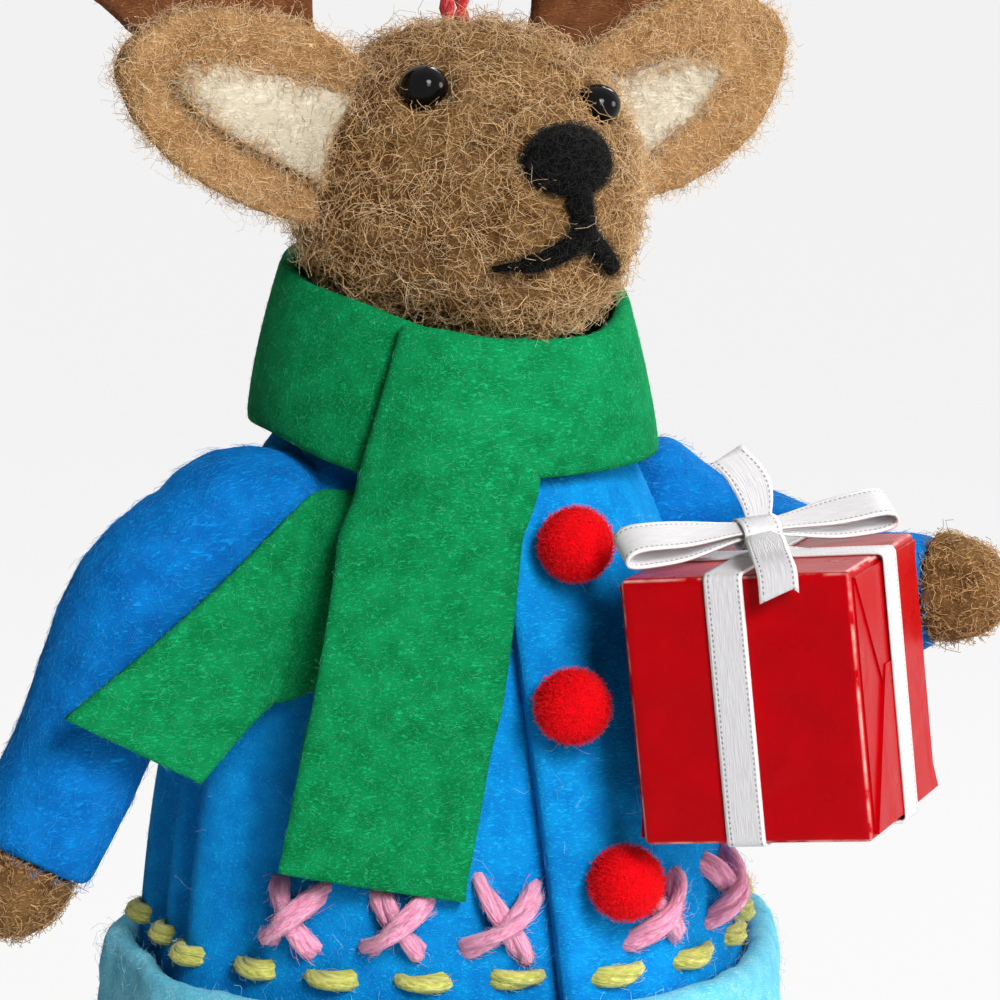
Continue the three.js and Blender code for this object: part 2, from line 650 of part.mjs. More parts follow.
function antlerFelt(side) {
  const outline = ANTLER_OUTLINE.map(([x, z]) => new THREE.Vector2(side * x, z));
  if (side < 0) outline.reverse();
  const shape = new THREE.Shape().moveTo(outline[0].x, outline[0].y).splineThru(outline.slice(1));
  const thickness = { depth: ANTLER_FELT, bevelEnabled: false, curveSegments: 2 };
  const felt = new THREE.ExtrudeGeometry(shape, thickness);
  return felt.rotateX(Math.PI / 2).translate(0, ANTLER_BACK + ANTLER_FELT / 2, 0);
}

function buildEarsAndAntlers() {
  for (const [name, side, padEnd] of [["right", -1, RIGHT_PAD_END], ["left", 1, LEFT_PAD_END]]) {
    piece(`${name}_ear`, cut(earShell(side), headClear), BROWN_WOOL, headGroup);
    piece(`${name}_inner_ear`, cut(earPad(side, padEnd), headClear), CREAM_WOOL, headGroup);
    piece(`${name}_antler`, cut(antlerFelt(side), headClear), ANTLER_BROWN, headGroup);
  }
}

// The twine rises from the knot in two legs and closes in a round loop over the hook.
function buildTwine() {
  const start = knotCentre.z + KNOT_RADIUS + SEAT_GAP;
  const leg = (side) => TWINE_LEG.map(([x, up]) => [side * x, knotCentre.y, start + up]);
  const top = [0, knotCentre.y, start + LOOP_HEIGHT];
  const route = path([...leg(-1), top, ...leg(1).reverse()]);
  const section = new THREE.Shape();
  const corner = 2 * Math.PI / TWINE_SIDES;
  const corners = Array.from({ length: TWINE_SIDES }, (_, i) => {
    return new THREE.Vector2(Math.cos(i * corner), Math.sin(i * corner)).multiplyScalar(TWINE_DIAMETER / 2);
  });
  section.setFromPoints(corners);
  const tube = new THREE.ExtrudeGeometry(section, { steps: TWINE_STEPS, extrudePath: route });
  piece("hanging_loop", tube, RED_TWINE);
  piece("crown_knot", ball(KNOT_RADIUS, knotCentre, 14, 9), RED_TWINE);
  return start + LOOP_HEIGHT - TWINE_DIAMETER / 2;
}

// A sleeve starts as a half ball in its shoulder socket and narrows to the wrist.
function sleeve(points) {
  const curve = new THREE.CatmullRomCurve3(points);
  const radiusAt = (t) => (t === 0 ? SHOULDER_RADIUS : lerp(SLEEVE_RADIUS, WRIST_RADIUS, t));
  return limb(curve, radiusAt, 12, 16, SHOULDER_RADIUS);
}

// A rounded hand follows on from the end of its sleeve.
function hand(points) {
  const curve = new THREE.CatmullRomCurve3(points);
  const aim = curve.getTangentAt(1);
  const wrist = points.at(-1).clone().addScaledVector(aim, SEAT_GAP);
  const tip = wrist.clone().addScaledVector(aim, HAND_LENGTH);
  const radiusAt = (t) => HAND_RADIUS * Math.sqrt(1 - 0.93 * t ** 2.4);
  return limb(new THREE.LineCurve3(wrist, tip), radiusAt, 6, 14);
}

const giftFacing = V(Math.sin(GIFT_TURN * DEGREE), -Math.cos(GIFT_TURN * DEGREE), 0);
const giftAlong = V(Math.cos(GIFT_TURN * DEGREE), Math.sin(GIFT_TURN * DEGREE), 0);
const fromShoulder = (shoulder, points) => points.map((p) => shoulder.clone().add(V(...p)));
const rightArm = fromShoulder(rightShoulder, RIGHT_SLEEVE);
const leftUpperArm = fromShoulder(leftShoulder, LEFT_SLEEVE);
const elbow = leftUpperArm.at(-1);
const leftArm = [...leftUpperArm, elbow.clone().addScaledVector(giftAlong, FOREARM_LENGTH)];

function buildArms() {
  for (const [side, points] of [["right", rightArm], ["left", leftArm]]) {
    piece(`${side}_sleeve`, sleeve(points), BLUE_WOOL);
    piece(`${side}_hand_hoof`, hand(points), BROWN_WOOL);
  }
}

// The collar's inner face, by angle and share of its height
function collarPoint(angle, share, offset) {
  const front = 0.5 + 0.5 * Math.cos((angle - COLLAR_DIP_ANGLE) * DEGREE);
  const wave = COLLAR_WAVE * share * Math.sin(3 * angle * DEGREE);
  const radius = lerp(COLLAR_BOTTOM_RADIUS, COLLAR_TOP_RADIUS, share ** 1.3) + wave + offset;
  const z = COLLAR_BOTTOM + (COLLAR_HEIGHT - COLLAR_FRONT_DIP * front) * share;
  const across = radius * Math.sin(angle * DEGREE);
  return V(across, -COLLAR_FORWARD - radius * Math.cos(angle * DEGREE), z);
}

function collarStrip() {
  const turn = 360 - COLLAR_SEAM_GAP;
  const grid = (offset) => steps(4).map((share) => steps(34).map((t) => {
    return collarPoint(COLLAR_SEAM_ANGLE - COLLAR_SEAM_GAP / 2 - turn * t, share, offset);
  }));
  return sheet(grid(SCARF_FELT), grid(0));
}

// Where the scarf crosses in front it lies over the collar and hangs just below it.
function crossingStrip() {
  const low = (CROSSING_BOTTOM - COLLAR_BOTTOM) / COLLAR_HEIGHT;
  const seat = SCARF_FELT + SEAT_GAP + FOLD_GAP;
  const grid = (offset) => steps(5).map((t) => steps(8).map((across) => {
    const share = lerp(low, CROSSING_TOP_SHARE, t);
    const angle = lerp(CROSSING_LEFT_ANGLE, CROSSING_RIGHT_ANGLE, across) + CROSSING_LEAN * t;
    const point = collarPoint(angle, Math.max(share, 0), seat + offset);
    return share < 0 ? point.setZ(COLLAR_BOTTOM + share * COLLAR_HEIGHT) : point;
  }));
  return sheet(grid(SCARF_FELT), grid(0));
}

const tuckLift = SEAT_GAP + FOLD_GAP;

// The front tail leaves the crossing, lies over the tucked end and settles on the coat.
function frontTail() {
  const top = CROSSING_BOTTOM - SOCKET_GAP;
  const overTuck = tuckLift + SCARF_FELT + SEAT_GAP + FOLD_GAP;
  const grid = (offset) => steps(12).map((t) => steps(5).map((across) => {
    const z = lerp(top, FRONT_TAIL_END + FRONT_TAIL_SLANT * (0.5 - across), t);
    const halfWidth = lerp(SCARF_GATHER, 1, t) * SCARF_WIDTH / 2;
    const half = halfWidth / (coatRadius(z) * BODY_DEPTH_SHARE) / DEGREE;
    const angle = lerp(FRONT_TAIL_TOP_ANGLE, FRONT_TAIL_END_ANGLE, t ** 1.3) + lerp(-half, half, across);
    const held = lerp(TAIL_LIFT, overTuck, smoothstep(z, TUCK_LOW - TAIL_SETTLE, TUCK_LOW));
    const lift = lerp(held, FRONT_TAIL_TOP_LIFT, smoothstep(z, TUCK_HIGH - TAIL_SETTLE, top));
    return bodyPoint(angle, z, Math.max(fold(angle, z), 0) + lift + offset);
  }));
  return sheet(grid(SCARF_FELT), grid(0));
}

// The other end is tucked under the front tail and comes out at its edge as the side tail.
function tuckedEnd() {
  const grid = (offset) => steps(4).map((t) => steps(5).map((across) => {
    const angle = lerp(TUCK_LEFT_ANGLE, TUCK_RIGHT_ANGLE, across);
    const low = lerp(TUCK_LOW, TUCK_LOW + TUCK_RISE, across);
    const z = lerp(low, TUCK_HIGH, t);
    return bodyPoint(angle, z, Math.max(fold(angle, z), 0) + tuckLift + offset);
  }));
  return sheet(grid(SCARF_FELT), grid(0));
}

function sideTail() {
  const highEnd = V(...SIDE_TAIL_HIGH_CORNER);
  const lowEnd = V(...SIDE_TAIL_LOW_CORNER);
  const grid = (offset) => steps(7).map((t) => steps(4).map((across) => {
    const z = lerp(TUCK_LOW, TUCK_HIGH, across);
    const angle = SIDE_TAIL_ROOT_ANGLE;
    const root = bodyPoint(angle, z, Math.max(fold(angle, z), 0) + tuckLift + offset);
    const end = lowEnd.clone().lerp(highEnd, across).add(V(0, -offset, 0));
    const bulge = SIDE_TAIL_BULGE * Math.sin(Math.PI * t);
    return root.lerp(end, t).add(V(0, -bulge, 0));
  }));
  return sheet(grid(SCARF_FELT), grid(0));
}

function buildScarf() {
  const headHere = headShape(SOCKET_GAP).rotateZ(HEAD_TURN * DEGREE).translate(...headCentre);
  piece("scarf_collar", cut(collarStrip(), headHere), GREEN_FELT);
  piece("scarf_crossing", cut(crossingStrip(), headHere), GREEN_FELT);
  piece("scarf_front_tail", frontTail(), GREEN_FELT);
  piece("scarf_tuck", tuckedEnd(), GREEN_FELT);
  piece("scarf_side_tail", sideTail(), GREEN_FELT);
}

function roundedRectangle(halfWidth, halfHeight, radius) {
  const shape = new THREE.Shape();
  shape.absarc(halfWidth - radius, halfHeight - radius, radius, 0, Math.PI / 2);
  shape.absarc(radius - halfWidth, halfHeight - radius, radius, Math.PI / 2, Math.PI);
  shape.absarc(radius - halfWidth, radius - halfHeight, radius, Math.PI, 1.5 * Math.PI);
  shape.absarc(halfWidth - radius, radius - halfHeight, radius, 1.5 * Math.PI, 2 * Math.PI);
  return shape;
}

// A flat band round a block: the inner half sizes, the wall, the corner radius and the width
function bandRound(halfWidth, halfHeight, wall, radius, width) {
  const shape = roundedRectangle(halfWidth + wall, halfHeight + wall, radius + wall);
  shape.holes.push(roundedRectangle(halfWidth, halfHeight, radius));
  const band = new THREE.ExtrudeGeometry(shape, { depth: width, bevelEnabled: false, curveSegments: 3 });
  return band.translate(0, 0, -width / 2);
}

// The paper's end folds close each end with a flat pad drawn in at its edges.
function endFold(side) {
  const ring = (x, inset) => [[-1, -1], [1, -1], [1, 1], [-1, 1]].map(([y, z]) => {
    const halfDepth = GIFT_DEPTH / 2 + PAPER - inset;
    return V(side * x, y * halfDepth, z * (GIFT_HEIGHT / 2 + PAPER - inset));
  });
  const seat = GIFT_WIDTH / 2 + SEAT_GAP;
  const crease = ring(seat + END_FOLD_DEPTH / 3, END_CREASE_INSET);
  return loft([ring(seat, 2 * END_CREASE_INSET), crease, ring(seat + END_FOLD_DEPTH, END_FOLD_INSET)]);
}

// Each bow loop leans forward, so that the ribbon's face shows. The bow lies askew on the gift.
function bowLoop(side, deck, lift) {
  const start = BOW_KNOT + SEAT_GAP;
  const reach = BOW_LOOP_LENGTH;
  const rise = BOW_LOOP_RISE;
  const points = [
    [start, 0.3], [reach * 0.55, 0.2], [reach * 0.9, 0.3], [reach, rise * 0.5],
    [reach * 0.85, rise], [reach * 0.5, rise], [start, rise * 0.6],
  ];
  const lifted = points.map(([x, z]) => [side * x, 0, z + lift * smoothstep(x, start, reach)]);
  const loop = ribbon(path(lifted), V(0, 1, 0), 14);
  const tilt = BOW_TILT * DEGREE;
  const seat = deck + (RIBBON_WIDTH / 2) * Math.sin(tilt);
  return loop.rotateX(tilt).rotateZ(BOW_TURN * DEGREE).translate(0, 0, seat);
}

function buildGift() {
  const gift = new THREE.Group();
  const backSeat = SEAT_GAP + RIBBON + SEAT_GAP;
  const reach = lerp(SLEEVE_RADIUS, WRIST_RADIUS, 0.75) + backSeat + PAPER + GIFT_DEPTH / 2;
  gift.position.copy(elbow).addScaledVector(giftAlong, GIFT_ALONG).addScaledVector(giftFacing, reach);
  gift.position.z = leftShoulder.z - GIFT_DROP;
  gift.rotation.set(0, GIFT_ROLL * DEGREE, GIFT_TURN * DEGREE, "ZYX");
  figure.add(gift);
  const add = (name, geometry, material) => piece(name, geometry, material, gift);

  const halfDepth = GIFT_DEPTH / 2;
  const halfHeight = GIFT_HEIGHT / 2;
  const end = roundedRectangle(halfDepth - SEAT_GAP, halfHeight - SEAT_GAP, PAPER_CORNER);
  const block = new THREE.ExtrudeGeometry(end, { depth: GIFT_WIDTH, bevelEnabled: false, curveSegments: 3 });
  block.translate(0, 0, -GIFT_WIDTH / 2);
  add("gift_block", block.rotateX(Math.PI / 2).rotateZ(Math.PI / 2), WHITE_FOAM);
  const paper = bandRound(halfDepth, halfHeight, PAPER, PAPER_CORNER, GIFT_WIDTH);
  add("gift_paper", paper.rotateX(Math.PI / 2).rotateZ(Math.PI / 2), RED_PAPER);
  add("gift_left_end", endFold(1), RED_PAPER);
  add("gift_right_end", endFold(-1), RED_PAPER);

  const overPaper = PAPER + SEAT_GAP;
  const tied = (across, up) => bandRound(across, up, RIBBON, PAPER_CORNER, RIBBON_WIDTH);
  const frontBand = tied(halfDepth + overPaper, halfHeight + overPaper);
  add("gift_front_ribbon", frontBand.rotateX(Math.PI / 2).rotateZ(Math.PI / 2), SATIN);
  const overBand = overPaper + RIBBON + SEAT_GAP;
  const sideHalf = GIFT_WIDTH / 2 + SEAT_GAP + END_FOLD_DEPTH + SEAT_GAP;
  const sideBand = tied(sideHalf, halfHeight + overBand);
  add("gift_side_ribbon", sideBand.rotateX(Math.PI / 2), SATIN);

  const deck = halfHeight + overBand + RIBBON + SEAT_GAP;
  const knot = new THREE.SphereGeometry(BOW_KNOT, 12, 8).scale(1, 1, BOW_KNOT_FLAT);
  const knotTop = deck + 2 * BOW_KNOT_FLAT * BOW_KNOT;
  add("bow_knot", knot.translate(0, 0, deck + BOW_KNOT_FLAT * BOW_KNOT), SATIN);
  add("bow_left_loop", bowLoop(1, deck, BOW_LEFT_LIFT), SATIN);
  add("bow_right_loop", bowLoop(-1, deck, 0), SATIN);
  const upperTail = path([
    [0.2, 1, knotTop + 0.5], [-0.2, 1.3, knotTop + 2], [-1.2, 1.5, knotTop + 4], [-2.8, 1.6, knotTop + 5.6],
  ]);
  add("bow_upper_tail", ribbon(upperTail, V(0.9, 0.4, 0.2), 8), SATIN);
  const front = halfDepth + overPaper + RIBBON + SEAT_GAP;
  const lowerTail = path([
    [1.2, -2.6, deck + 1.2], [2.4, -5.8, deck + 2], [3.5, -front - 0.2, deck + 0.9],
    [4.2, -front - 1.1, deck - 2.2], [4.4, -front - 0.5, deck - 4.4],
  ]);
  add("bow_lower_tail", ribbon(lowerTail, V(1, 0.1, 0), 10), SATIN);
}

buildBody();
buildLegs();
buildButtons();
buildStitches();
buildHead();
buildEarsAndAntlers();
buildArms();
buildScarf();
buildGift();
const hangHeight = buildTwine();
figure.position.set(0, KNOT_FORWARD, -hangHeight);

const ornament = new THREE.Group();
ornament.add(figure);
export default ornament;
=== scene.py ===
# Felted reindeer ornament: its looks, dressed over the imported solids.
# Sizes are in millimetres in the figure's own frame, with z = 0 at the coat's hem and the face
# towards -y, until place() puts them into the row frame in metres.
import math

import bmesh
import bpy
from mathutils import Matrix, Vector
from mathutils.kdtree import KDTree


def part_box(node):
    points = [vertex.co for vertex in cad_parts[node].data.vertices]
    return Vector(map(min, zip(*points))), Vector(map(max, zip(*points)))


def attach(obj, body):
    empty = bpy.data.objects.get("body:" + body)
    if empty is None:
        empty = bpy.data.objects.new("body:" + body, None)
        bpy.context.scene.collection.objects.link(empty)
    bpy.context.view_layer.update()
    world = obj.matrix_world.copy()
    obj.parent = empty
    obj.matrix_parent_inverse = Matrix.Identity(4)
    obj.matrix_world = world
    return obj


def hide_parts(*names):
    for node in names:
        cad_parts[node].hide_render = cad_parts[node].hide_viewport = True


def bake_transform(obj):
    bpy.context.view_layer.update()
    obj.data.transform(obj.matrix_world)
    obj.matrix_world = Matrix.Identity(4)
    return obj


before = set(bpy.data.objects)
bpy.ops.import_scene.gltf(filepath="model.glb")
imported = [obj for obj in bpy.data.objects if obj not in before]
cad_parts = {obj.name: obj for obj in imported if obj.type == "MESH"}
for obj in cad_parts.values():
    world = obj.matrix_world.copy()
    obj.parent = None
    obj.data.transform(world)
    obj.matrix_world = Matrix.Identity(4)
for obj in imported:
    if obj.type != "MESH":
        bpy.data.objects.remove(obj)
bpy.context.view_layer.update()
scene = bpy.context.scene
scene.view_settings.view_transform = "Standard"

# The ornament hangs free over a pale floor, seen a little from above and from its right hand.
# A broad soft lamp stands up to the viewer's right, with weaker ones in front, to the side and
# behind, and the room adds a little light from all round.
MM = 0.001
AIM = Vector((4.4, -0.35, -104)) * MM
AZIMUTH, ELEVATION, DISTANCE = math.radians(-28), math.radians(10), 0.4
LENS, SENSOR = 158.4, 36
CLEAR, WARM = (1, 0.99, 0.97), (1, 0.98, 0.95)
ROOM_LIGHT = 0.06
FLOOR_SIZE, FLOOR_HEIGHT, FLOOR_GLOW, FLOOR_HIDDEN = 6, -0.26, 1.05, 0.92


def colour(text):
    """A screen colour such as c8443c as linear red, green, blue and alpha."""
    parts = [int(text[i:i + 2], 16) / 255 for i in (0, 2, 4)]
    return [c / 12.92 if c <= 0.04045 else ((c + 0.055) / 1.055) ** 2.4 for c in parts] + [1]


def node(tree, kind, sockets={}, **settings):
    """Adds a node, a shader's where no other kind is named; its sockets take values or links."""
    made = tree.nodes.new(kind if "Node" in kind else "ShaderNode" + kind)
    for key, value in settings.items():
        setattr(made, key, value)
    for key, value in sockets.items():
        if isinstance(value, bpy.types.NodeSocket):
            tree.links.new(value, made.inputs[key])
        else:
            made.inputs[key].default_value = value
    return made


def out(tree, kind, sockets={}, **settings):
    """Adds a node and gives its first output."""
    return node(tree, kind, sockets, **settings).outputs[0]


def maths(tree, operation, *values):
    """A number that a node works out from numbers or sockets."""
    return out(tree, "Math", dict(enumerate(values)), operation=operation)


def settled(name, data):
    """A new object of a mesh, curve, lamp or camera, put into the scene."""
    made = bpy.data.objects.new(name, data)
    scene.collection.objects.link(made)
    return made


def formed(name, bm):
    """A new object whose mesh is what a bmesh holds; the bmesh is freed."""
    mesh = bpy.data.meshes.new(name)
    bm.to_mesh(mesh)
    bm.free()
    return settled(name, mesh)


def in_order(bm):
    """Sorts the faces by their points, because some bmesh tools list them in another order each run."""
    bm.verts.index_update()
    ranked = sorted(bm.faces, key=lambda face: sorted(vert.index for vert in face.verts))
    for rank, face in enumerate(ranked):
        face.index = rank
    bm.faces.sort()


camera = settled("camera", bpy.data.cameras.new("camera"))
camera.data.lens, camera.data.sensor_width = LENS, SENSOR
back = Vector((math.sin(AZIMUTH), -math.cos(AZIMUTH), math.tan(ELEVATION))).normalized()
camera.location = AIM + back * DISTANCE
camera.rotation_euler = back.to_track_quat("Z", "Y").to_euler()
scene.camera = camera


def soft_lamp(name, sideways, up, forward, size, watts, tint):
    """A round lamp placed from the object as the camera sees it, facing the object."""
    lamp = bpy.data.lights.new(name, "AREA")
    lamp.shape, lamp.size, lamp.energy, lamp.color = "DISK", size, watts, tint
    right = Vector((math.cos(AZIMUTH), math.sin(AZIMUTH), 0))
    ahead = Vector((math.sin(AZIMUTH), -math.cos(AZIMUTH), 0))
    away = right * sideways + ahead * forward + Vector((0, 0, up))
    holder = settled(name, lamp)
    holder.location = AIM + away
    holder.rotation_euler = away.to_track_quat("Z", "Y").to_euler()


soft_lamp("main_lamp", 0.26, 0.4, 0.54, size=0.26, watts=5.3, tint=CLEAR)
soft_lamp("front_lamp", 0.26, 0.2, 0.6, size=0.2, watts=1.1, tint=CLEAR)
soft_lamp("side_lamp", 0.62, 0.1, 0.02, size=0.26, watts=2.1, tint=WARM)
soft_lamp("back_lamp", 0.2, 0.4, -0.56, size=0.34, watts=3, tint=CLEAR)


def to_eye(tree):
    """1 on rays that show what they meet: from the camera, through clear things, or by gloss."""
    rays = node(tree, "LightPath").outputs
    seen = maths(tree, "MAXIMUM", rays["Is Camera Ray"], rays["Is Transmission Ray"])
    return maths(tree, "MAXIMUM", seen, rays["Is Glossy Ray"])


BACKDROP = colour("f5f5f5")
scene.world = bpy.data.worlds.new("room")
scene.world.use_nodes = True
tree = scene.world.node_tree
tree.nodes.clear()
light = out(tree, "Background", {"Color": (1, 1, 1, 1), "Strength": ROOM_LIGHT})
plain = out(tree, "Background", {"Color": BACKDROP, "Strength": 1})
mixed = out(tree, "MixShader", {0: to_eye(tree), 1: light, 2: plain})
node(tree, "OutputWorld", {"Surface": mixed})

bm = bmesh.new()
bmesh.ops.create_grid(bm, x_segments=1, y_segments=1, size=FLOOR_SIZE)
bmesh.ops.translate(bm, verts=bm.verts, vec=(0, 0, FLOOR_HEIGHT))
floor = formed("floor", bm)
paint = bpy.data.materials.new("pale_floor")
paint.use_nodes = True
tree = paint.node_tree
tree.nodes.clear()
hidden = maths(tree, "MULTIPLY", to_eye(tree), FLOOR_HIDDEN)
matt = out(tree, "BsdfDiffuse", {"Color": BACKDROP})
glow = out(tree, "Emission", {"Color": BACKDROP, "Strength": FLOOR_GLOW})
mixed = out(tree, "MixShader", {0: hidden, 1: matt, 2: glow})
node(tree, "OutputMaterial", {"Surface": mixed})
floor.data.materials.append(paint)

# Hanging twine: a red ply and a cream ply twisted together and doubled into a loop to hang it by.
# Both legs go down into the crown, where an overhand knot holds them in the wool.
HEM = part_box("coat")[0][2]
KNOT_FORWARD = 2
TWINE_LEG = ((0.7, -2.8), (0.72, 0), (0.85, 6), (1.5, 18), (2.9, 33), (4.4, 46), (4.9, 53), (3.6, 58.2))
LOOP_HEIGHT = 60
KNOT_SIZE, KNOT_DEPTH, KNOT_STEPS = 0.4, 1.2, 40
PLIES, YARN_GRAIN, YARN_DEPTH, STREAK = 2, 0.3, 0.0002, 0.12


def place(x, y, z):
    """A point of the figure, in millimetres, in the row frame in metres."""
    return Vector((x * MM, (y + KNOT_FORWARD) * MM, z * MM + HEM))


def through(points, per_span=8):
    """A smooth line through given points."""
    ends = [points[0] * 2 - points[1], *points, points[-1] * 2 - points[-2]]
    line = []
    for a, b, c, d in zip(ends, ends[1:], ends[2:], ends[3:]):
        for t in (i / per_span for i in range(per_span)):
            bend = (2 * a - 5 * b + 4 * c - d) * t * t + (3 * b - a - 3 * c + d) * t ** 3
            line.append((2 * b + (c - a) * t + bend) * 0.5)
    return line + [points[-1]]


def followed(line):
    """Each point of a line, with the line's direction there and how far along it lies."""
    run = 0
    for i, here in enumerate(line):
        run += (here - line[max(i - 1, 0)]).length
        yield here, (line[min(i + 1, len(line) - 1)] - line[max(i - 1, 0)]).normalized(), run


def bake(piece):
    """Replaces an object by one with the same name whose mesh is what its modifiers or curve give."""
    mesh = bpy.data.meshes.new_from_object(piece.evaluated_get(bpy.context.evaluated_depsgraph_get()))
    name = piece.name
    bpy.data.objects.remove(piece)
    mesh.name = name
    return settled(name, mesh)


def nearest(points):
    """A tree that finds the nearest of some points."""
    tree = KDTree(len(points))
    for i, point in enumerate(points):
        tree.insert(point, i)
    tree.balance()
    return tree


def twisted(name, lines, ply, lay, pitch):
    """Round plies wound round each line as one mesh, with one material slot for each ply.

    Each point keeps its line's direction, and a place drawn out along it for streaks."""
    curves = bpy.data.curves.new("plies", "CURVE")
    curves.dimensions = "3D"
    curves.bevel_depth = ply * MM
    curves.bevel_resolution = 1
    curves.use_fill_caps = True
    for line in lines:
        for k in range(PLIES):
            spline = curves.splines.new("POLY")
            spline.points.add(len(line) - 1)
            spline.material_index = k
            across = Vector((0.3, 1, 0.2))
            for point, (here, ahead, run) in zip(spline.points, followed(line)):
                across = (across - ahead * across.dot(ahead)).normalized()
                turn = 2 * math.pi * (run / (pitch * MM) + k / PLIES)
                side = across * math.cos(turn) + ahead.cross(across) * math.sin(turn)
                point.co = (*(here + side * lay * MM), 1)
    piece = bake(settled(name, curves))
    steps = [step for line in lines for step in followed(line)]
    near = nearest([step[0] for step in steps])
    along = piece.data.attributes.new("along", "FLOAT_VECTOR", "POINT")
    lie = piece.data.attributes.new("lie", "FLOAT_VECTOR", "POINT")
    for vert in piece.data.vertices:
        here, ahead, run = steps[near.find(vert.co)[1]]
        off = vert.co - here
        slip = off.dot(ahead)
        along.data[vert.index].vector = ahead
        drawn_out = Vector((1, 1, 1)) * (run + slip) / MM * STREAK
        lie.data[vert.index].vector = (off - ahead * slip) / MM + drawn_out
    return piece


belongs = {}


def dress(piece, body, slot, materials, *nodes):
    """Gives a finished piece its materials, and the body and slot that its fibres will share."""
    belongs[piece.name] = body, slot
    piece.data.materials.clear()
    for material in materials:
        piece.data.materials.append(material)
    piece.data.shade_smooth()
    if nodes:
        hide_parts(*nodes)
    if body:
        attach(piece, body)
    return piece


def surface(name, finish):
    """A new material, its node tree and its shader, with the shader's sockets set by name."""
    material = bpy.data.materials.new(name)
    material.use_nodes = True
    shader = material.node_tree.nodes["Principled BSDF"]
    for socket, amount in finish.items():
        shader.inputs[socket].default_value = amount
    return material, material.node_tree, shader


def tones(tree, share, dark, light):
    """A colour between two, each of them a screen colour or a socket."""
    dark, light = (colour(end) if isinstance(end, str) else end for end in (dark, light))
    return node(tree, "Mix", {0: share, 6: dark, 7: light}, data_type="RGBA").outputs[2]


def ranged(tree, share, low, high, first=0, last=1):
    """A number taken from the range low to high into the range first to last."""
    return out(tree, "MapRange", {0: share, 1: low, 2: high, 3: first, 4: last})


def clouds(tree, where, scale, detail, distortion=0):
    return out(tree, "TexNoise",
               {"Vector": where, "Scale": scale, "Detail": detail, "Distortion": distortion})


def cover(tree, shader, shade, height, relief, depth):
    """Links a colour to the shader, and a height as relief of a depth in metres."""
    tree.links.new(shade, shader.inputs["Base Color"])
    bump = out(tree, "Bump", {"Strength": relief, "Distance": depth, "Height": height})
    tree.links.new(bump, shader.inputs["Normal"])


def yarn(name, dark, light):
    """Spun yarn: fine fibres drawn out along it, with painted shade in the grooves between them."""
    finish = {"Roughness": 0.8, "Sheen Weight": 0.3, "Specular IOR Level": 0.2}
    material, tree, shader = surface(name, finish)
    lie = node(tree, "Attribute", attribute_name="lie").outputs["Vector"]
    strands = ranged(tree, clouds(tree, lie, 1 / YARN_GRAIN, 3, 0.4), 0.32, 0.68)
    # The colour follows the relief, so the grooves get painted shade.
    cover(tree, shader, tones(tree, strands, dark, light), strands, 0.8, YARN_DEPTH)
    return material


leg_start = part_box("hanging_loop")[0][2]
leg = [Vector((x * MM, 0, leg_start + up * MM)) for x, up in TWINE_LEG]
top = Vector((0, 0, leg_start + LOOP_HEIGHT * MM))
route = through([Vector((-p.x, p.y, p.z)) for p in leg] + [top] + leg[::-1])
red_and_cream = [yarn("red_ply", "a8141c", "d83a3c"), yarn("cream_ply", "c9b8a4", "efe4d6")]
twine = twisted("hanging_twine", [route], ply=0.4, lay=0.36, pitch=4)
dress(twine, "twine", "red_twine", red_and_cream, "hanging_loop")

knot_low, knot_high = (Vector(corner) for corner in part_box("crown_knot"))
turns = [2 * math.pi * i / KNOT_STEPS for i in range(KNOT_STEPS + 1)]
overhand = [Vector((math.sin(t) + 2 * math.sin(2 * t), math.cos(t) - 2 * math.cos(2 * t),
                    -KNOT_DEPTH * math.sin(3 * t))) for t in turns]
overhand = [(knot_low + knot_high) / 2 + point * KNOT_SIZE * MM for point in overhand]
crown_knot = twisted("twine_knot", [overhand], ply=0.34, lay=0.3, pitch=3)
dress(crown_knot, "knot", "red_twine", red_and_cream, "crown_knot")

# Body: a stuffed wool core that the coat is wrapped on, closed below by a felt disc.
# Only the neck shows, as a little pale wool between chin and scarf.
FELT_GRAIN, FELT_DEPTH = 700, 0.0003
FIBRE_TURNS, FIBRE_SHAPE = ((0.3, 0.2, 0.1), (1.2, 0.5, 2.1), (0.4, 2, 0.9)), (1, 3.5, 3.5)
LUMP_SIZE = 5


def node_group(name, kind, takes, gives):
    """A new node group and the sockets of what it takes; numbers are taken where no kind is named."""
    group = bpy.data.node_groups.new(name, kind)
    for way, sockets in (("INPUT", takes), ("OUTPUT", gives)):
        for socket in sockets:
            label, _, sort = socket.partition(":")
            group.interface.new_socket(label, in_out=way, socket_type="NodeSocket" + (sort or "Float"))
    return group, node(group, "NodeGroupInput").outputs


def matted_fibres():
    """Short fibres pressed flat in three directions, as a colour and a height."""
    group, given = node_group("matted_fibres", "ShaderNodeTree",
                              ("Light:Color", "Dark:Color", "Grain", "Patches"), ("Colour:Color", "Height"))
    where = node(group, "TexCoord").outputs["Object"]

    def grained(vector):
        return out(group, "VectorMath", {0: vector, 3: given["Grain"]}, operation="SCALE")

    turned = [out(group, "Mapping", {"Vector": where, "Rotation": turn, "Scale": FIBRE_SHAPE})
              for turn in FIBRE_TURNS]
    first, second, third = (clouds(group, grained(way), 1, 2, 0.8) for way in turned)
    strands = maths(group, "MAXIMUM", maths(group, "MAXIMUM", first, second), third)
    height = ranged(group, strands, 0.56, 0.76)
    patch = ranged(group, clouds(group, grained(where), 0.35, 3), 0.35, 0.65)
    patch = maths(group, "MULTIPLY", patch, given["Patches"])
    share = maths(group, "MULTIPLY_ADD", height, 0.8, patch)
    shade = tones(group, share, given["Dark"], given["Light"])
    node(group, "NodeGroupOutput", {"Colour": shade, "Height": height})
    return group


MATTED = matted_fibres()


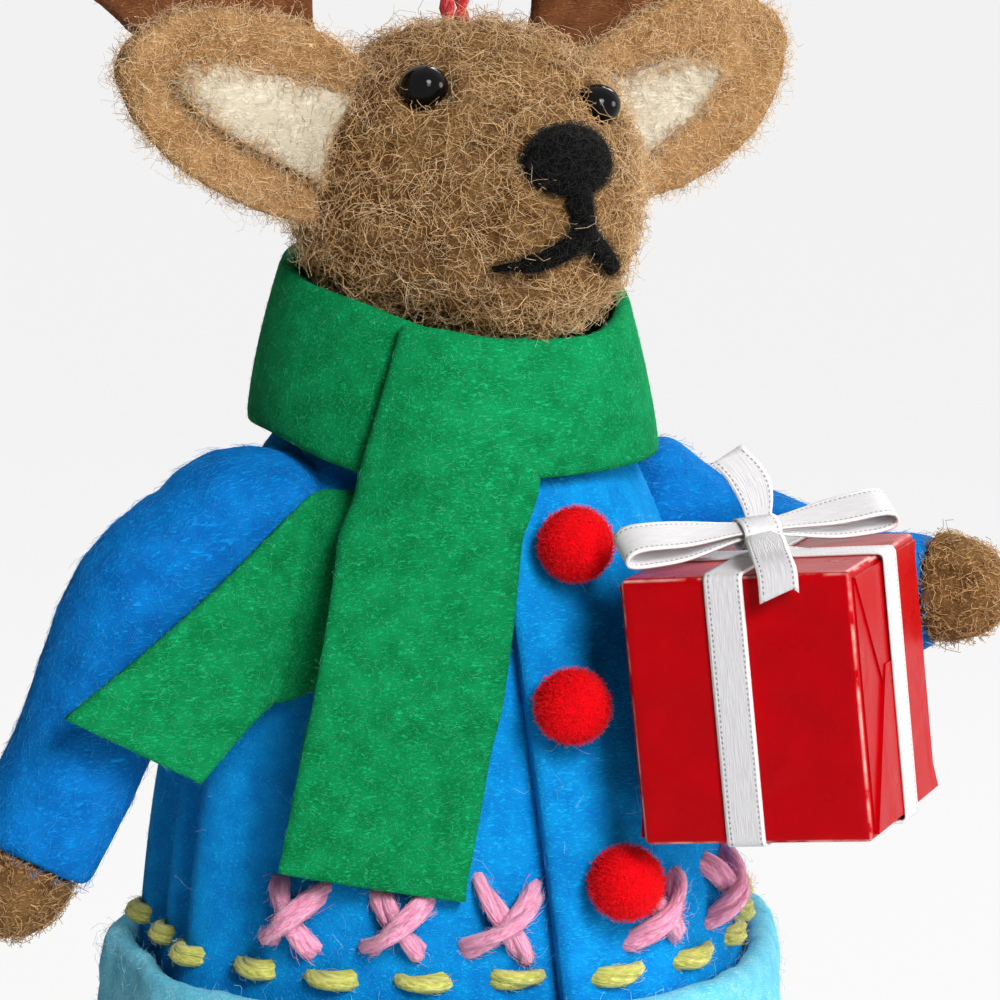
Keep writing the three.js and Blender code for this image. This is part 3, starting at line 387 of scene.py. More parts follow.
def felt(name, dark, light, grain=FELT_GRAIN, relief=0.6, patches=0.3, sheen=0.3):
    """Pressed wool: matted fibres in colour and relief under a soft sheen."""
    finish = {"Roughness": 0.9, "Specular IOR Level": 0.06, "Sheen Weight": sheen, "Sheen Roughness": 0.5,
              "Sheen Tint": colour(light)}
    material, tree, shader = surface(name, finish)
    wool = {"Light": colour(light), "Dark": colour(dark), "Grain": grain, "Patches": patches}
    matted = node(tree, "Group", wool, node_tree=MATTED).outputs
    cover(tree, shader, matted["Colour"], matted["Height"], relief, FELT_DEPTH)
    return material


def round_off(piece, passes):
    rounded = piece.modifiers.new("rounded", "SMOOTH")
    rounded.factor, rounded.iterations = 0.5, passes


def stuffed(solid, name, slot, material, voxel, passes, lumps=0, swell=0, tuft=None,
            shaped=None, body="figure"):
    """Wool or thick felt in the form of a CAD solid, remeshed fine, rounded off and a little uneven.

    A tuft adds an oval of wool, given by its centre and half sizes, that melts into the form, and
    shaped changes the finished mesh."""
    bm = bmesh.new()
    bm.from_mesh(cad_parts[solid].data)
    bmesh.ops.remove_doubles(bm, verts=bm.verts, dist=1e-6)
    if tuft:
        oval = bmesh.ops.create_uvsphere(bm, u_segments=32, v_segments=20, radius=MM)["verts"]
        bmesh.ops.scale(bm, vec=tuft[1], verts=oval)
        bmesh.ops.translate(bm, vec=place(*tuft[0]), verts=oval)
    piece = formed(name, bm)
    remesh = piece.modifiers.new("remesh", "REMESH")
    remesh.mode, remesh.voxel_size = "VOXEL", voxel * MM
    round_off(piece, passes)
    if swell:
        fuller = piece.modifiers.new("fuller", "DISPLACE")
        fuller.strength, fuller.mid_level = swell * MM, 0
    if lumps:
        bumps = bpy.data.textures.new(name, "CLOUDS")
        bumps.noise_scale, bumps.noise_depth = LUMP_SIZE * MM, 2
        uneven = piece.modifiers.new("uneven", "DISPLACE")
        uneven.texture, uneven.strength, uneven.mid_level = bumps, lumps * MM, 0.5
    piece = bake(piece)
    if shaped:
        shaped(piece)
    dress(piece, body, slot, [material], solid)
    return piece


stuffed("body_core", "body_stuffing", "stuffing", felt("stuffing_wool", "c9bda6", "eee6d6"),
        voxel=1.6, passes=4)
blue_felt = felt("blue_felt", "0670be", "12b2f8", grain=1400, relief=0.55, patches=0.25)
stuffed("base_felt", "base_disc", "blue_felt", blue_felt, voxel=0.9, passes=2)

# Coat: one sheet of blue felt wrapped round the body, its left front edge lapped over the right.
# Soft folds hang from the shoulders, and the sleeves come out through two round holes.
COAT_HEIGHT, HEM_RADIUS, NECK_RADIUS = 58, 28.4, 9
SHOULDER_POWER, DEPTH_SHARE, COAT_OPENING = 1.7, 0.92, 0.985
COAT_FELT, LAP_GAP, LAP_ANGLE, LAP_RUN = 1.8, 0.7, 24, 40
FRONT_EDGE_HEM, FRONT_EDGE_NECK = -4, -14
FOLD_DEPTH, FOLD_COUNT, FOLD_SIDES = 0.8, 9, (40, 90)
CREASES = ((-88, 4.5, 2.2), (-104, 4, 1.8), (-68, 4, 0.8), (97, 5, 1.4), (150, 6, 1.2), (-150, 6, 1.2))
CREASE_FOOT, CREASE_TOP = (6, 12), (22, 40)
SHOULDER, SOCKET = (20.7, -2.4, 45.2), 6.75
COAT_COLUMNS, COAT_ROWS, ROW_POWER = 200, 44, 0.8


def mix(a, b, t):
    return a + (b - a) * t


def ease(value, low, high):
    t = min(max((value - low) / (high - low), 0), 1)
    return t * t * (3 - 2 * t)


def coat_radius(z):
    share = min(max(z / COAT_HEIGHT, 0), COAT_OPENING)
    return mix(NECK_RADIUS, HEM_RADIUS, math.sqrt(1 - share ** SHOULDER_POWER))


def on_body(angle, z, offset):
    """A point standing off the body, by its angle from the front towards the figure's left hand."""
    turn, radius = math.radians(angle), coat_radius(z)
    return place((radius + offset) * math.sin(turn), -(radius * DEPTH_SHARE + offset) * math.cos(turn), z)


def fold(angle, z):
    """How far the felt hangs out or in: broad waves round the sides, and a few creases near the hem."""
    from_front = abs((angle + 540) % 360 - 180)
    hang = math.sqrt(1 - min(max(z / COAT_HEIGHT, 0), 1))
    wave = FOLD_DEPTH * hang * ease(from_front, *FOLD_SIDES) * math.cos(math.radians(FOLD_COUNT * angle))
    low = ease(z, *CREASE_FOOT) * (1 - ease(z, *CREASE_TOP))
    for middle, width, depth in CREASES:
        off = ((angle - middle + 540) % 360 - 180) / width
        wave -= depth * low * math.exp(-off * off)
    return wave


def front_edge(z):
    return mix(FRONT_EDGE_HEM, FRONT_EDGE_NECK, z / COAT_HEIGHT)


def lap(past):
    return 0 if past < 0 else (COAT_FELT + LAP_GAP) * (1 - ease(past, LAP_ANGLE, LAP_ANGLE + LAP_RUN))


def coat_skin(angle, z):
    return fold(angle, z) + lap(angle - front_edge(z))


def cloth(name, columns, rows, shape, thickness, closed=False):
    """A sheet whose outer face follows shape(u, v), its thickness on the inner side, with a UV map."""
    bm = bmesh.new()
    grid = bm.loops.layers.uv.new("cut")
    bmesh.ops.create_grid(bm, x_segments=columns, y_segments=rows, size=0.5)
    for face in bm.faces:
        for loop in face.loops:
            loop[grid].uv = loop.vert.co.x + 0.5, loop.vert.co.y + 0.5
    for vert in bm.verts:
        vert.co = shape(vert.co.x + 0.5, vert.co.y + 0.5)
    if closed:
        bmesh.ops.remove_doubles(bm, verts=bm.verts, dist=1e-6)
    piece = formed(name, bm)
    thick = piece.modifiers.new("thickness", "SOLIDIFY")
    thick.thickness, thick.offset, thick.use_even_offset = thickness * MM, -1, True
    return piece


def coat_face(u, v):
    z = COAT_OPENING * COAT_HEIGHT * v ** ROW_POWER
    past = (360 + LAP_ANGLE) * u
    angle = front_edge(z) + past
    return on_body(angle, z, fold(angle, z) + lap(past))


coat = cloth("coat_felt", COAT_COLUMNS, COAT_ROWS, coat_face, COAT_FELT)
balls = []
for side in (-1, 1):
    bm = bmesh.new()
    bmesh.ops.create_uvsphere(bm, u_segments=40, v_segments=24, radius=SOCKET * MM)
    in_order(bm)
    bmesh.ops.translate(bm, verts=bm.verts, vec=place(side * SHOULDER[0], *SHOULDER[1:]))
    balls.append(formed("arm_hole", bm))
    hole = coat.modifiers.new("arm_hole", "BOOLEAN")
    hole.operation, hole.object = "DIFFERENCE", balls[-1]
round_off(coat, 2)
coat = bake(coat)
for ball in balls:
    bpy.data.objects.remove(ball)
dress(coat, "figure", "blue_felt", [blue_felt], "coat")


def wool_fibres():
    """Grows fibres on a surface: scattered, combed or turned at random, lifted, curled, made round."""
    takes = ("Surface:Geometry", "Density", "Length", "Points:Int", "Low", "High", "Comb:Vector", "Spread",
             "Curl", "Curl Size", "Thickness", "Seed:Int")
    group, given = node_group("wool_fibres", "GeometryNodeTree", takes, ("Fibres:Geometry",))

    def chance(low, high, salt, kind="FLOAT"):
        first = 0 if kind == "FLOAT_VECTOR" else 2
        sockets = {first: low, first + 1: high, "Seed": salt}
        return node(group, "FunctionNodeRandomValue", sockets, data_type=kind).outputs[first // 2]

    def stored(points, name, value, kind):
        sockets = {"Geometry": points, "Name": name, "Value": value}
        return out(group, "GeometryNodeStoreNamedAttribute", sockets, data_type=kind, domain="POINT")

    def turned(rotation, angles):
        by = out(group, "FunctionNodeEulerToRotation", {0: out(group, "CombineXYZ", angles)})
        return out(group, "FunctionNodeRotateRotation", {"Rotation": rotation, "Rotate By": by},
                   rotation_space="LOCAL")

    def vector(operation, sockets):
        return out(group, "VectorMath", sockets, operation=operation)

    scattered = node(group, "GeometryNodeDistributePointsOnFaces",
                     {"Mesh": given["Surface"], "Density": given["Density"], "Seed": given["Seed"]}).outputs
    tinted = stored(scattered["Points"], "tint", chance(0.0, 1.0, 3), "FLOAT")
    marked = stored(tinted, "stray", chance((-1, -1, -1), (1, 1, 1), 4, "FLOAT_VECTOR"), "FLOAT_VECTOR")
    combed = out(group, "FunctionNodeAlignRotationToVector",
                 {"Rotation": scattered["Rotation"], "Vector": given["Comb"]}, axis="X", pivot_axis="Z")
    spun = turned(combed, {"Z": chance(maths(group, "MULTIPLY", given["Spread"], -1.0), given["Spread"], 1)})
    tilted = turned(spun, {"Y": chance(given["Low"], given["High"], 2)})
    tip = out(group, "CombineXYZ", {"X": given["Length"]})
    line = out(group, "GeometryNodeCurvePrimitiveLine", {"End": tip})
    jointed = out(group, "GeometryNodeResampleCurve", {"Curve": line, "Count": given["Points"]})
    planted = out(group, "GeometryNodeInstanceOnPoints",
                  {"Points": marked, "Instance": jointed, "Rotation": tilted, "Scale": chance(0.55, 1.3, 5)})
    loose = out(group, "GeometryNodeRealizeInstances", {0: planted})
    stray = out(group, "GeometryNodeInputNamedAttribute", {"Name": "stray"}, data_type="FLOAT_VECTOR")
    apart = vector("SCALE", {0: stray, 3: given["Curl Size"]})
    field = vector("ADD", {0: out(group, "GeometryNodeInputPosition"), 1: apart})
    finer = maths(group, "DIVIDE", 1.0, given["Curl Size"])
    noise = node(group, "TexNoise", {"Vector": field, "Scale": finer, "Detail": 0.0}).outputs[1]
    centred = vector("SUBTRACT", {0: noise, 1: (0.5, 0.5, 0.5)})
    free = ranged(group, node(group, "GeometryNodeSplineParameter").outputs["Factor"], 0, 0.4)
    sway = vector("SCALE", {0: centred, 3: maths(group, "MULTIPLY", free, given["Curl"])})
    curled = out(group, "GeometryNodeSetPosition", {"Geometry": loose, "Offset": sway})
    ring = out(group, "GeometryNodeCurvePrimitiveCircle", {"Resolution": 3, "Radius": given["Thickness"]})
    fibres = out(group, "GeometryNodeCurveToMesh",
                 {"Curve": curled, "Profile Curve": ring, "Fill Caps": True})
    node(group, "NodeGroupOutput", {0: fibres})
    return group


WOOL = wool_fibres()


def fibre(name, dark, light, sheen=0.1):
    """Loose fibres: each one takes its own shade between two colours from its tint."""
    finish = {"Roughness": 0.7, "Sheen Weight": sheen, "Specular IOR Level": 0.25}
    material, tree, shader = surface(name, finish)
    tint = node(tree, "Attribute", attribute_name="tint").outputs["Fac"]
    tree.links.new(tones(tree, tint, dark, light), shader.inputs["Base Color"])
    return material


def grow(base, name, material, count, length, seed, points=5, low=-8, high=10, comb=(0, 0, 1), spread=180,
         curl=1, curl_size=1, thickness=0.03, bare=(), clear=0.6, where=None, slot=None):
    """Fibres on a finished piece, as a piece of their own: lengths in millimetres, angles in degrees.

    Comb is a direction or the name of an attribute. None grow as near as clear to the bare pieces,
    and none on a face that where turns down. A base that isn't dressed yet has no body to share."""
    body, own_slot = belongs.get(base.name, (None, slot))
    bm = bmesh.new()
    bm.from_mesh(base.data)
    if bare:
        near = nearest([vert.co for piece in bare for vert in piece.data.vertices])
        covered = [face for face in bm.faces if near.find(face.calc_center_median())[2] < clear * MM]
        bmesh.ops.delete(bm, geom=covered, context="FACES")
    if where:
        bmesh.ops.delete(bm, geom=[face for face in bm.faces if not where(face)], context="FACES")
    area = sum(face.calc_area() for face in bm.faces)
    ground = formed(name, bm)
    modifier = ground.modifiers.new("fibres", "NODES")
    modifier.node_group = WOOL
    values = {"Density": count / area, "Length": length * MM, "Points": points, "Low": -math.radians(low),
              "High": -math.radians(high), "Comb": comb, "Spread": math.radians(spread),
              "Curl": 2 * curl * MM, "Curl Size": curl_size * MM, "Thickness": thickness * MM, "Seed": seed}
    for item in WOOL.interface.items_tree:
        if item.name in values and isinstance(values[item.name], str):
            modifier[item.identifier + "_use_attribute"] = True
            modifier[item.identifier + "_attribute_name"] = values[item.name]
        elif item.name in values:
            modifier[item.identifier] = values[item.name]
    return dress(bake(ground), body, slot or own_slot, [material])


grow(coat, "coat_nap", fibre("blue_fibre", "0a86d2", "34b4f6"), 7000, 0.7, 11,
     points=2, low=-5, high=12, curl=0.3, thickness=0.012)
grow(coat, "coat_strays", fibre("stray_blue_fibre", "4ca0de", "c4e4fa"), 620, 3.6, 13,
     points=9, low=-6, high=9, curl=1.8, curl_size=2, thickness=0.011)

# Hem cuff: a thick roll of pale-blue wool felted on round the hem.
# It stands proud of the coat, and its loose fibres make a soft edge.
pale_wool = felt("pale_blue_wool", "46b6d6", "a4e6f6", grain=1300, relief=0.55)
cuff = stuffed("hem_cuff", "cuff_roll", "pale_blue_wool", pale_wool, voxel=0.7, passes=6, lumps=0.8)
grow(cuff, "cuff_fuzz", fibre("pale_blue_fibre", "4cbcd8", "b4eaf6"), 3000, 1.7, 12,
     points=4, curl=1.1, curl_size=1.4, thickness=0.016)

# Legs and hooves: short stuffed legs of the head's brown wool, set under the base disc,
# each with a cloven hoof of darker wool.
brown_wool = felt("brown_wool", "452c14", "c09460", grain=1000, relief=1, patches=0.25)
brown_fibre = fibre("brown_fibre", "886034", "d4aa74")
hoof_wool = felt("hoof_wool", "35241a", "58402c", grain=520)
hoof_fibre = fibre("hoof_fibre", "33231a", "6b4f38")
for seed, side in enumerate(("right", "left")):
    leg = stuffed(f"{side}_leg", f"{side}_leg_wool", "brown_wool", brown_wool, voxel=0.6, passes=5,
                  lumps=0.4)
    grow(leg, f"{side}_leg_fibres", brown_fibre, 900, 1.7, 20 + seed, low=-9, high=5, curl=1.1, curl_size=0.7)
    hoof = stuffed(f"{side}_foot_hoof", f"{side}_hoof_wool", "hoof_wool", hoof_wool, voxel=0.45, passes=4)
    grow(hoof, f"{side}_hoof_fibres", hoof_fibre, 600, 1.2, 22 + seed, points=4, low=-9, high=6, curl=0.8)

# Trim on the coat: crosses of thick pink yarn, and a row of yellow-green running stitches below them.
# Each stitch is two plies twisted together whose ends go down into the felt.
# A cross has the width and height of its under bar, then those of its over bar.
CROSS_HEIGHT, CROSS_RISE, CROSS_HUMP = 14.9, 1.3, 1.1
CROSS_ANGLES = (-54.5, -34, -15, 12.5, 32)
CROSS_BARS = ((4, 5.8, 5.6, 5), (3.6, 5.2, 5.6, 4.8), (4, 6.8, 6.6, 4.8), (4.8, 5.6, 5.2, 5.2),
              (4.6, 5.4, 4.8, 5.4))
STITCH_HEIGHT, STITCH_LENGTH, STITCH_RISE = 9.8, 4.4, 0.7
STITCH_FIRST, STITCH_STEP, STITCH_COUNT, STITCH_SHOWN = -114.5, 17, 21, 0.9
YARN_SUNK, YARN_STEPS, YARN_BLUNT = 1.1, 16, 0.35


def laid(start, end, rise, hump):
    """A yarn's line on the coat between two angles and heights, its ends sunk into the felt."""
    line = []
    for t in (0.5 - 0.5 * math.cos(math.pi * i / YARN_STEPS) for i in range(YARN_STEPS + 1)):
        angle, z = mix(start[0], end[0], t), mix(start[1], end[1], t)
        arch = max(math.sin(math.pi * t), 0)
        up = (rise + YARN_SUNK) * arch ** YARN_BLUNT + hump * arch ** 2 - YARN_SUNK
        line.append(on_body(angle, z, coat_skin(angle, z) + up))
    return line


bars = []
for angle, (under_span, under_rise, over_span, over_rise) in zip(CROSS_ANGLES, CROSS_BARS):
    for span, rise, tilt, hump in ((under_span, under_rise, -1, 0), (over_span, over_rise, 1, CROSS_HUMP)):
        half = math.degrees(span / 2 / coat_radius(CROSS_HEIGHT))
        start = angle - half, CROSS_HEIGHT - tilt * rise / 2
        bars.append(laid(start, (angle + half, CROSS_HEIGHT + tilt * rise / 2), CROSS_RISE, hump))
pink = yarn("pink_yarn", "d47ca2", "f6b0cc")
crosses = twisted("pink_crosses", bars, ply=0.68, lay=0.4, pitch=16)
dress(crosses, "figure", "pink_yarn", [pink, pink], *[f"cross_stitch_{i}" for i in range(1, 6)])
grow(crosses, "cross_fibres", fibre("pink_fibre", "d480a6", "fac4da"), 2500, 1.5, 31,
     points=4, low=-6, high=7, comb="along", spread=26, curl=0.7, curl_size=1.2, thickness=0.014)

reach = math.degrees(STITCH_SHOWN / 2 * STITCH_LENGTH / coat_radius(STITCH_HEIGHT))
centres = [STITCH_FIRST + STITCH_STEP * i for i in range(STITCH_COUNT)]
runs = [laid((a - reach, STITCH_HEIGHT), (a + reach, STITCH_HEIGHT), STITCH_RISE, 0) for a in centres]
lime = yarn("lime_yarn", "a4a63c", "d6d67c")
stitches = twisted("running_stitches", runs, ply=0.66, lay=0.3, pitch=18)
dress(stitches, "figure", "lime_yarn", [lime, lime], *[f"running_stitch_{i}" for i in range(1, 12)])
grow(stitches, "stitch_fibres", fibre("lime_fibre", "a2a440", "e2e094"), 2600, 1.2, 32,
     points=3, low=-6, high=7, comb="along", spread=26, curl=0.5, thickness=0.014)

# Buttons: three pom-poms of cut red wool, glued to the lap.
# Each is a dense short pile round a felted ball.
red_wool = felt("red_wool", "c8020c", "f80616", relief=0.4, sheen=0.05)
red_fibre = fibre("red_fibre", "d4020e", "fc0a1c", sheen=0)
for seed, which in enumerate(("top", "middle", "bottom")):
    ball = stuffed(f"{which}_button", f"{which}_pompom", "red_wool", red_wool, voxel=0.35, passes=6,
                   swell=-0.25)
    grow(ball, f"{which}_pompom_pile", red_fibre, 2400, 0.42, 40 + seed, points=3, low=15, high=75, curl=0.2,
         curl_size=0.4, thickness=0.02)

# Head: brown needle-felted wool, round with a blunt muzzle. Matted curls cover it, and longer
# pale fibres stand off it. The face is black wool needled on, with two glossy bead eyes.
EYE_SUNK, EYE_FLAT = 0.45, 0.88
EYE_SHIFT = {"right": (-0.45, 0, 0.5), "left": (0, 0, 0.1)}
MOUTH_TAPER, TAPER_PASSES = 3.2, 30
head = stuffed("head", "head_wool", "brown_wool", brown_wool, voxel=0.5, passes=14, lumps=0.7)
bead, tree, shader = surface("black_bead", {"Base Color": colour("060606"), "Specular IOR Level": 0.12})
specks = clouds(tree, node(tree, "TexCoord").outputs["Object"], 900, 2)
tree.links.new(ranged(tree, specks, 0, 1, 0.04, 0.1), shader.inputs["Roughness"])
features = []
for side in ("right", "left"):
    lowest, highest = (Vector(corner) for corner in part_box(f"{side}_eye"))
    bm = bmesh.new()
    bmesh.ops.create_uvsphere(bm, u_segments=32, v_segments=20, radius=(highest.z - lowest.z) / 2)
    in_order(bm)
    bmesh.ops.scale(bm, verts=bm.verts, vec=(1, 1, EYE_FLAT))
    seat = (lowest + highest) / 2 + Vector(EYE_SHIFT[side]) * MM
    inward = (sum((Vector(corner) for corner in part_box("head")), Vector()) / 2 - seat).normalized()
    bmesh.ops.translate(bm, verts=bm.verts, vec=seat + inward * EYE_SUNK * MM)
    eye = formed(f"{side}_bead_eye", bm)
    features.append(dress(eye, "figure", "black_bead", [bead], f"{side}_eye"))


def draw_out(mouth):
    """Thins the mouth line towards its long end."""
    bm = bmesh.new()
    bm.from_mesh(mouth.data)
    tip = min((vert.co for vert in bm.verts), key=lambda spot: spot.x).copy()
    drawn = [vert for vert in bm.verts if (vert.co - tip).length < MOUTH_TAPER * MM]
    for _ in range(TAPER_PASSES):
        bmesh.ops.smooth_vert(bm, verts=drawn, factor=0.5, use_axis_x=True, use_axis_y=True, use_axis_z=True)
    bm.to_mesh(mouth.data)
    bm.free()


black_wool = felt("black_wool", "040404", "121111", sheen=0.02)
black_fibre = fibre("black_fibre", "040404", "201e1d", sheen=0.02)
lines = (("nose", 1500, 0.3, None), ("mouth", 900, 0.12, draw_out))
for seed, (solid, count, swell, shaped) in enumerate(lines):
    line = stuffed(solid, f"{solid}_wool", "black_wool", black_wool, voxel=0.3, passes=4, swell=swell,
                   shaped=shaped)
    features.append(line)
    grow(line, f"{solid}_fibres", black_fibre, count, 1.1, 60 + seed, points=4, curl=0.7, curl_size=0.6,
         thickness=0.02)

tan_fibre = fibre("tan_fibre", "a67c48", "e8c492")
pale_fibre = fibre("pale_fibre", "c09a68", "f2dcba")
grow(head, "head_under_curls", brown_fibre, 7000, 2.1, 51, low=-9, high=3, curl=1.7, curl_size=1.3,
     thickness=0.034, bare=features)
grow(head, "head_curls", tan_fibre, 4800, 2.9, 52, points=6, high=3, curl=2.4, curl_size=1.8,
     thickness=0.024, bare=features)
grow(head, "head_pale_curls", pale_fibre, 2300, 3.8, 54, points=9, low=-7, high=4, curl=3, curl_size=2.1,
     thickness=0.016, bare=features)

# Ears: cupped leaves of the same brown wool, each with a pad of cream wool needled into its cup.
# Antlers: flat shapes cut from thick rust-brown felt and pushed into the crown behind the ears.
RIM_LOW, RIM_HIGH = 0.1, 0.9
ear_wool = felt("ear_wool", "7c5730", "dcb280", grain=1200, relief=0.8, patches=0.25)
cream_wool = felt("cream_wool", "aca28e", "d2c8b6", grain=620, relief=0.35)
cream_fibre = fibre("cream_fibre", "aca28c", "ded6c6")
antler_felt = felt("antler_felt", "5a321c", "9a6440", grain=1300, relief=0.8)
antler_fibre = fibre("antler_fibre", "6a3a20", "b07c54")
for nth, side in enumerate(("right", "left")):
    ear = stuffed(f"{side}_ear", f"{side}_ear_wool", "brown_wool", ear_wool, voxel=0.45, passes=6,
                  lumps=0.4)
    pad = stuffed(f"{side}_inner_ear", f"{side}_ear_pad", "cream_wool", cream_wool, voxel=0.3, passes=5)
    grow(ear, f"{side}_ear_fuzz", tan_fibre, 4200, 1.5, 110 + nth, points=4, low=-10, high=4, curl=1.4,
         curl_size=1.1, thickness=0.022, bare=[pad], clear=0.35)
    grow(ear, f"{side}_ear_curls", pale_fibre, 1800, 2.1, 140 + nth, points=7, low=-10, high=4, curl=1.9,
         curl_size=1.4, thickness=0.015, bare=[pad], clear=0.35)
    grow(pad, f"{side}_ear_pad_fibres", cream_fibre, 1700, 1.4, 72 + nth, points=4, low=-9, high=2, curl=0.6,
         thickness=0.016)
    shown = (face.normal * face.area for face in pad.data.polygons if face.normal.y < 0)
    facing = sum(shown, Vector()).normalized()
    grow(pad, f"{side}_ear_rim", tan_fibre, 900, 1.3, 76 + nth, high=5, curl=1.2, thickness=0.024,
         slot="brown_wool", where=lambda face: RIM_LOW < face.normal.dot(facing) < RIM_HIGH)
    antler = stuffed(f"{side}_antler", f"{side}_antler_felt", "antler_felt", antler_felt, voxel=0.5, passes=2)
    grow(antler, f"{side}_antler_nap", antler_fibre, 1200, 1.2, 74 + nth, points=4, high=6, curl=0.7,
         thickness=0.014)

# Scarf: a strip of green felt wound once round the neck and crossed in front. One end falls down the
# front, and the other is tucked under it and comes out at the side.
SCARF_FELT, SEAT, SCARF_WIDTH, SCARF_GATHER = 1.3, 0.55, 15.3, 0.84
COLLAR_BOTTOM, COLLAR_HEIGHT, COLLAR_DIP, DIP_ANGLE = 52.6, 17, 5.2, 10
COLLAR_TOP_RADIUS, COLLAR_BOTTOM_RADIUS, COLLAR_FLARE, COLLAR_FORWARD = 14.6, 17.3, 1.3, 1.6
COLLAR_WAVE, SIDE_RISE, COLLAR_PINCH, RIM_RISE = 0.5, 3, 0.7, 1.7
COLLAR_START, COLLAR_ROUND = -25, 358
PINCH_SIDES, RISE_START, RISE_STOP, RIM_SIDES = (40, 85), (40, 95), (120, 175), (20, 65)
CROSSING_LEFT, CROSSING_RIGHT, CROSSING_TURN, CROSSING_STRETCH = -52, -3, 8, 1.42
CROSSING_TOP_LEFT, CROSSING_TOP_RIGHT, EDGE_SEAT = 66, 64.7, 0.06
HINGE_HEIGHT, HINGE_ANGLE, HINGE_LIFT, TAIL_ANGLE, TAIL_LIFT = 49.9, -29, 3, -39.4, 0.7
TAIL_END, TAIL_SLANT, TAIL_WIDTH, TAIL_SWAY, STIFFNESS = 18.4, 2.8, 16.8, 1.3, 0.8
SOFTENS, CROSSES, TUCK_EASE = (41, 52), (47.5, 52.5), 5
TUCK_LOW, TUCK_HIGH, TUCK_ANGLE, TUCK_SHARE, TUCK_RISE = 34, 51.5, -24, 0.4, 7
ROOT_ANGLE, ROOT_HEIGHT, ROOT_LIFT = -60.5, 42.7, 1.8
SIDE_HIGH, SIDE_LOW, SIDE_BULGE, TAIL_BELLY = (-42.6, -11, 34), (-30.6, -12.6, 27.3), 1.2, 0.9
green_felt = felt("green_felt", "046a36", "18c078", grain=1400, relief=0.7, patches=0.2)
green_fibre = fibre("green_fibre", "0c8a4a", "5ccc98")


def on_collar(angle, share, offset):
    """A point standing off the neck, by its angle and its share of the collar's height."""
    turn = math.radians(angle)
    front = 0.5 + 0.5 * math.cos(math.radians(angle - DIP_ANGLE))
    wave = COLLAR_WAVE * share * math.sin(3 * turn)
    radius = mix(COLLAR_BOTTOM_RADIUS, COLLAR_TOP_RADIUS, max(share, 0) ** COLLAR_FLARE) + wave + offset
    round_side = -((angle + 180) % 360 - 180)
    radius -= COLLAR_PINCH * max(share, 0) ** 2 * ease(abs(round_side), *PINCH_SIDES)
    bottom = COLLAR_BOTTOM + SIDE_RISE * ease(round_side, *RISE_START) * (1 - ease(round_side, *RISE_STOP))
    rim = COLLAR_BOTTOM + COLLAR_HEIGHT - COLLAR_DIP * front + RIM_RISE * ease(abs(round_side), *RIM_SIDES)
    z = mix(bottom, rim, share)
    return place(radius * math.sin(turn), -COLLAR_FORWARD - radius * math.cos(turn), z)


def on_coat(angle, z, lift):
    """A point of a scarf's outer face lying on the coat's folds."""
    return on_body(angle, z, max(fold(angle, z), 0) + lift + SCARF_FELT)


def collar_face(u, v):
    return on_collar(COLLAR_START - COLLAR_ROUND * (1 - u), v, SCARF_FELT)


def front_face(u, v):
    """The crossing over the collar above, and the tail on the coat below, as one strip.

    The tail is stiff: its right edge lies on the coat, and the rest stands off it, nearly flat."""
    top = mix(CROSSING_TOP_LEFT, CROSSING_TOP_RIGHT, ease(u, 0.1, 0.9))
    z = mix(TAIL_END + TAIL_SLANT * (0.5 - u), top, v)
    share = (z - COLLAR_BOTTOM) / COLLAR_HEIGHT * CROSSING_STRETCH
    stand = mix(SEAT + 2 * SCARF_FELT, SCARF_FELT + EDGE_SEAT, ease(u, 0.3, 1))
    over = on_collar(mix(CROSSING_LEFT + CROSSING_TURN * max(share, 0), CROSSING_RIGHT, u), share, stand)
    fall = min(max((HINGE_HEIGHT - z) / (HINGE_HEIGHT - TAIL_END), 0), 1)
    half = math.degrees(mix(SCARF_GATHER, 1, fall) * SCARF_WIDTH / 2 / (coat_radius(z) * DEPTH_SHARE))
    angle = mix(HINGE_ANGLE, TAIL_ANGLE, fall ** TAIL_SWAY) + mix(-half, half, u)
    held = mix(TAIL_LIFT, 2 * SEAT + SCARF_FELT, ease(z, TUCK_LOW - TUCK_EASE, TUCK_LOW))
    lift = mix(held, HINGE_LIFT, ease(z, TUCK_HIGH - TUCK_EASE, HINGE_HEIGHT))
    edge = angle + 2 * half * (1 - u)
    away = on_body(edge - 2, z, lift + SCARF_FELT) - on_body(edge, z, lift + SCARF_FELT)
    flat = on_coat(edge, z, lift) + away.normalized() * TAIL_WIDTH * (1 - u) * MM
    under = on_coat(angle, z, lift).lerp(flat, STIFFNESS * (1 - ease(z, *SOFTENS)))
    across = under.lerp(over, ease(z, *CROSSES))
    across.z = z * MM + HEM
    return across


def side_face(u, v):
    """The tucked end from under the front tail to its edge, then the side tail out to its corners."""
    outward = 1 - u
    low = TUCK_LOW - TAIL_BELLY
    if outward < TUCK_SHARE:
        t = outward / TUCK_SHARE
        z = mix(mix(TUCK_LOW + TUCK_RISE, low, t), TUCK_HIGH, v)
        return on_coat(mix(TUCK_ANGLE, ROOT_ANGLE, t), z, SEAT)
    t = (outward - TUCK_SHARE) / (1 - TUCK_SHARE)
    root = on_coat(ROOT_ANGLE, mix(low, TUCK_HIGH, v), SEAT)
    x, y, z = (mix(a, b, v) for a, b in zip(SIDE_LOW, SIDE_HIGH))
    swing = SIDE_BULGE * math.sin(math.pi * t)
    return root.lerp(place(x, y - SCARF_FELT, z), t) + Vector((0, -swing, swing * (1 - v))) * MM


def strip(name, columns, rows, shape, passes):
    """A strip of the scarf with its cut edges rounded."""
    piece = cloth(name, columns, rows, shape, SCARF_FELT)
    round_off(piece, passes)
    return bake(piece)


def nap(piece, count, seed):
    return grow(piece, f"{piece.name}_nap", green_fibre, count, 0.6, seed, points=2, low=-5, high=12,
                curl=0.3, thickness=0.011, slot="green_felt")


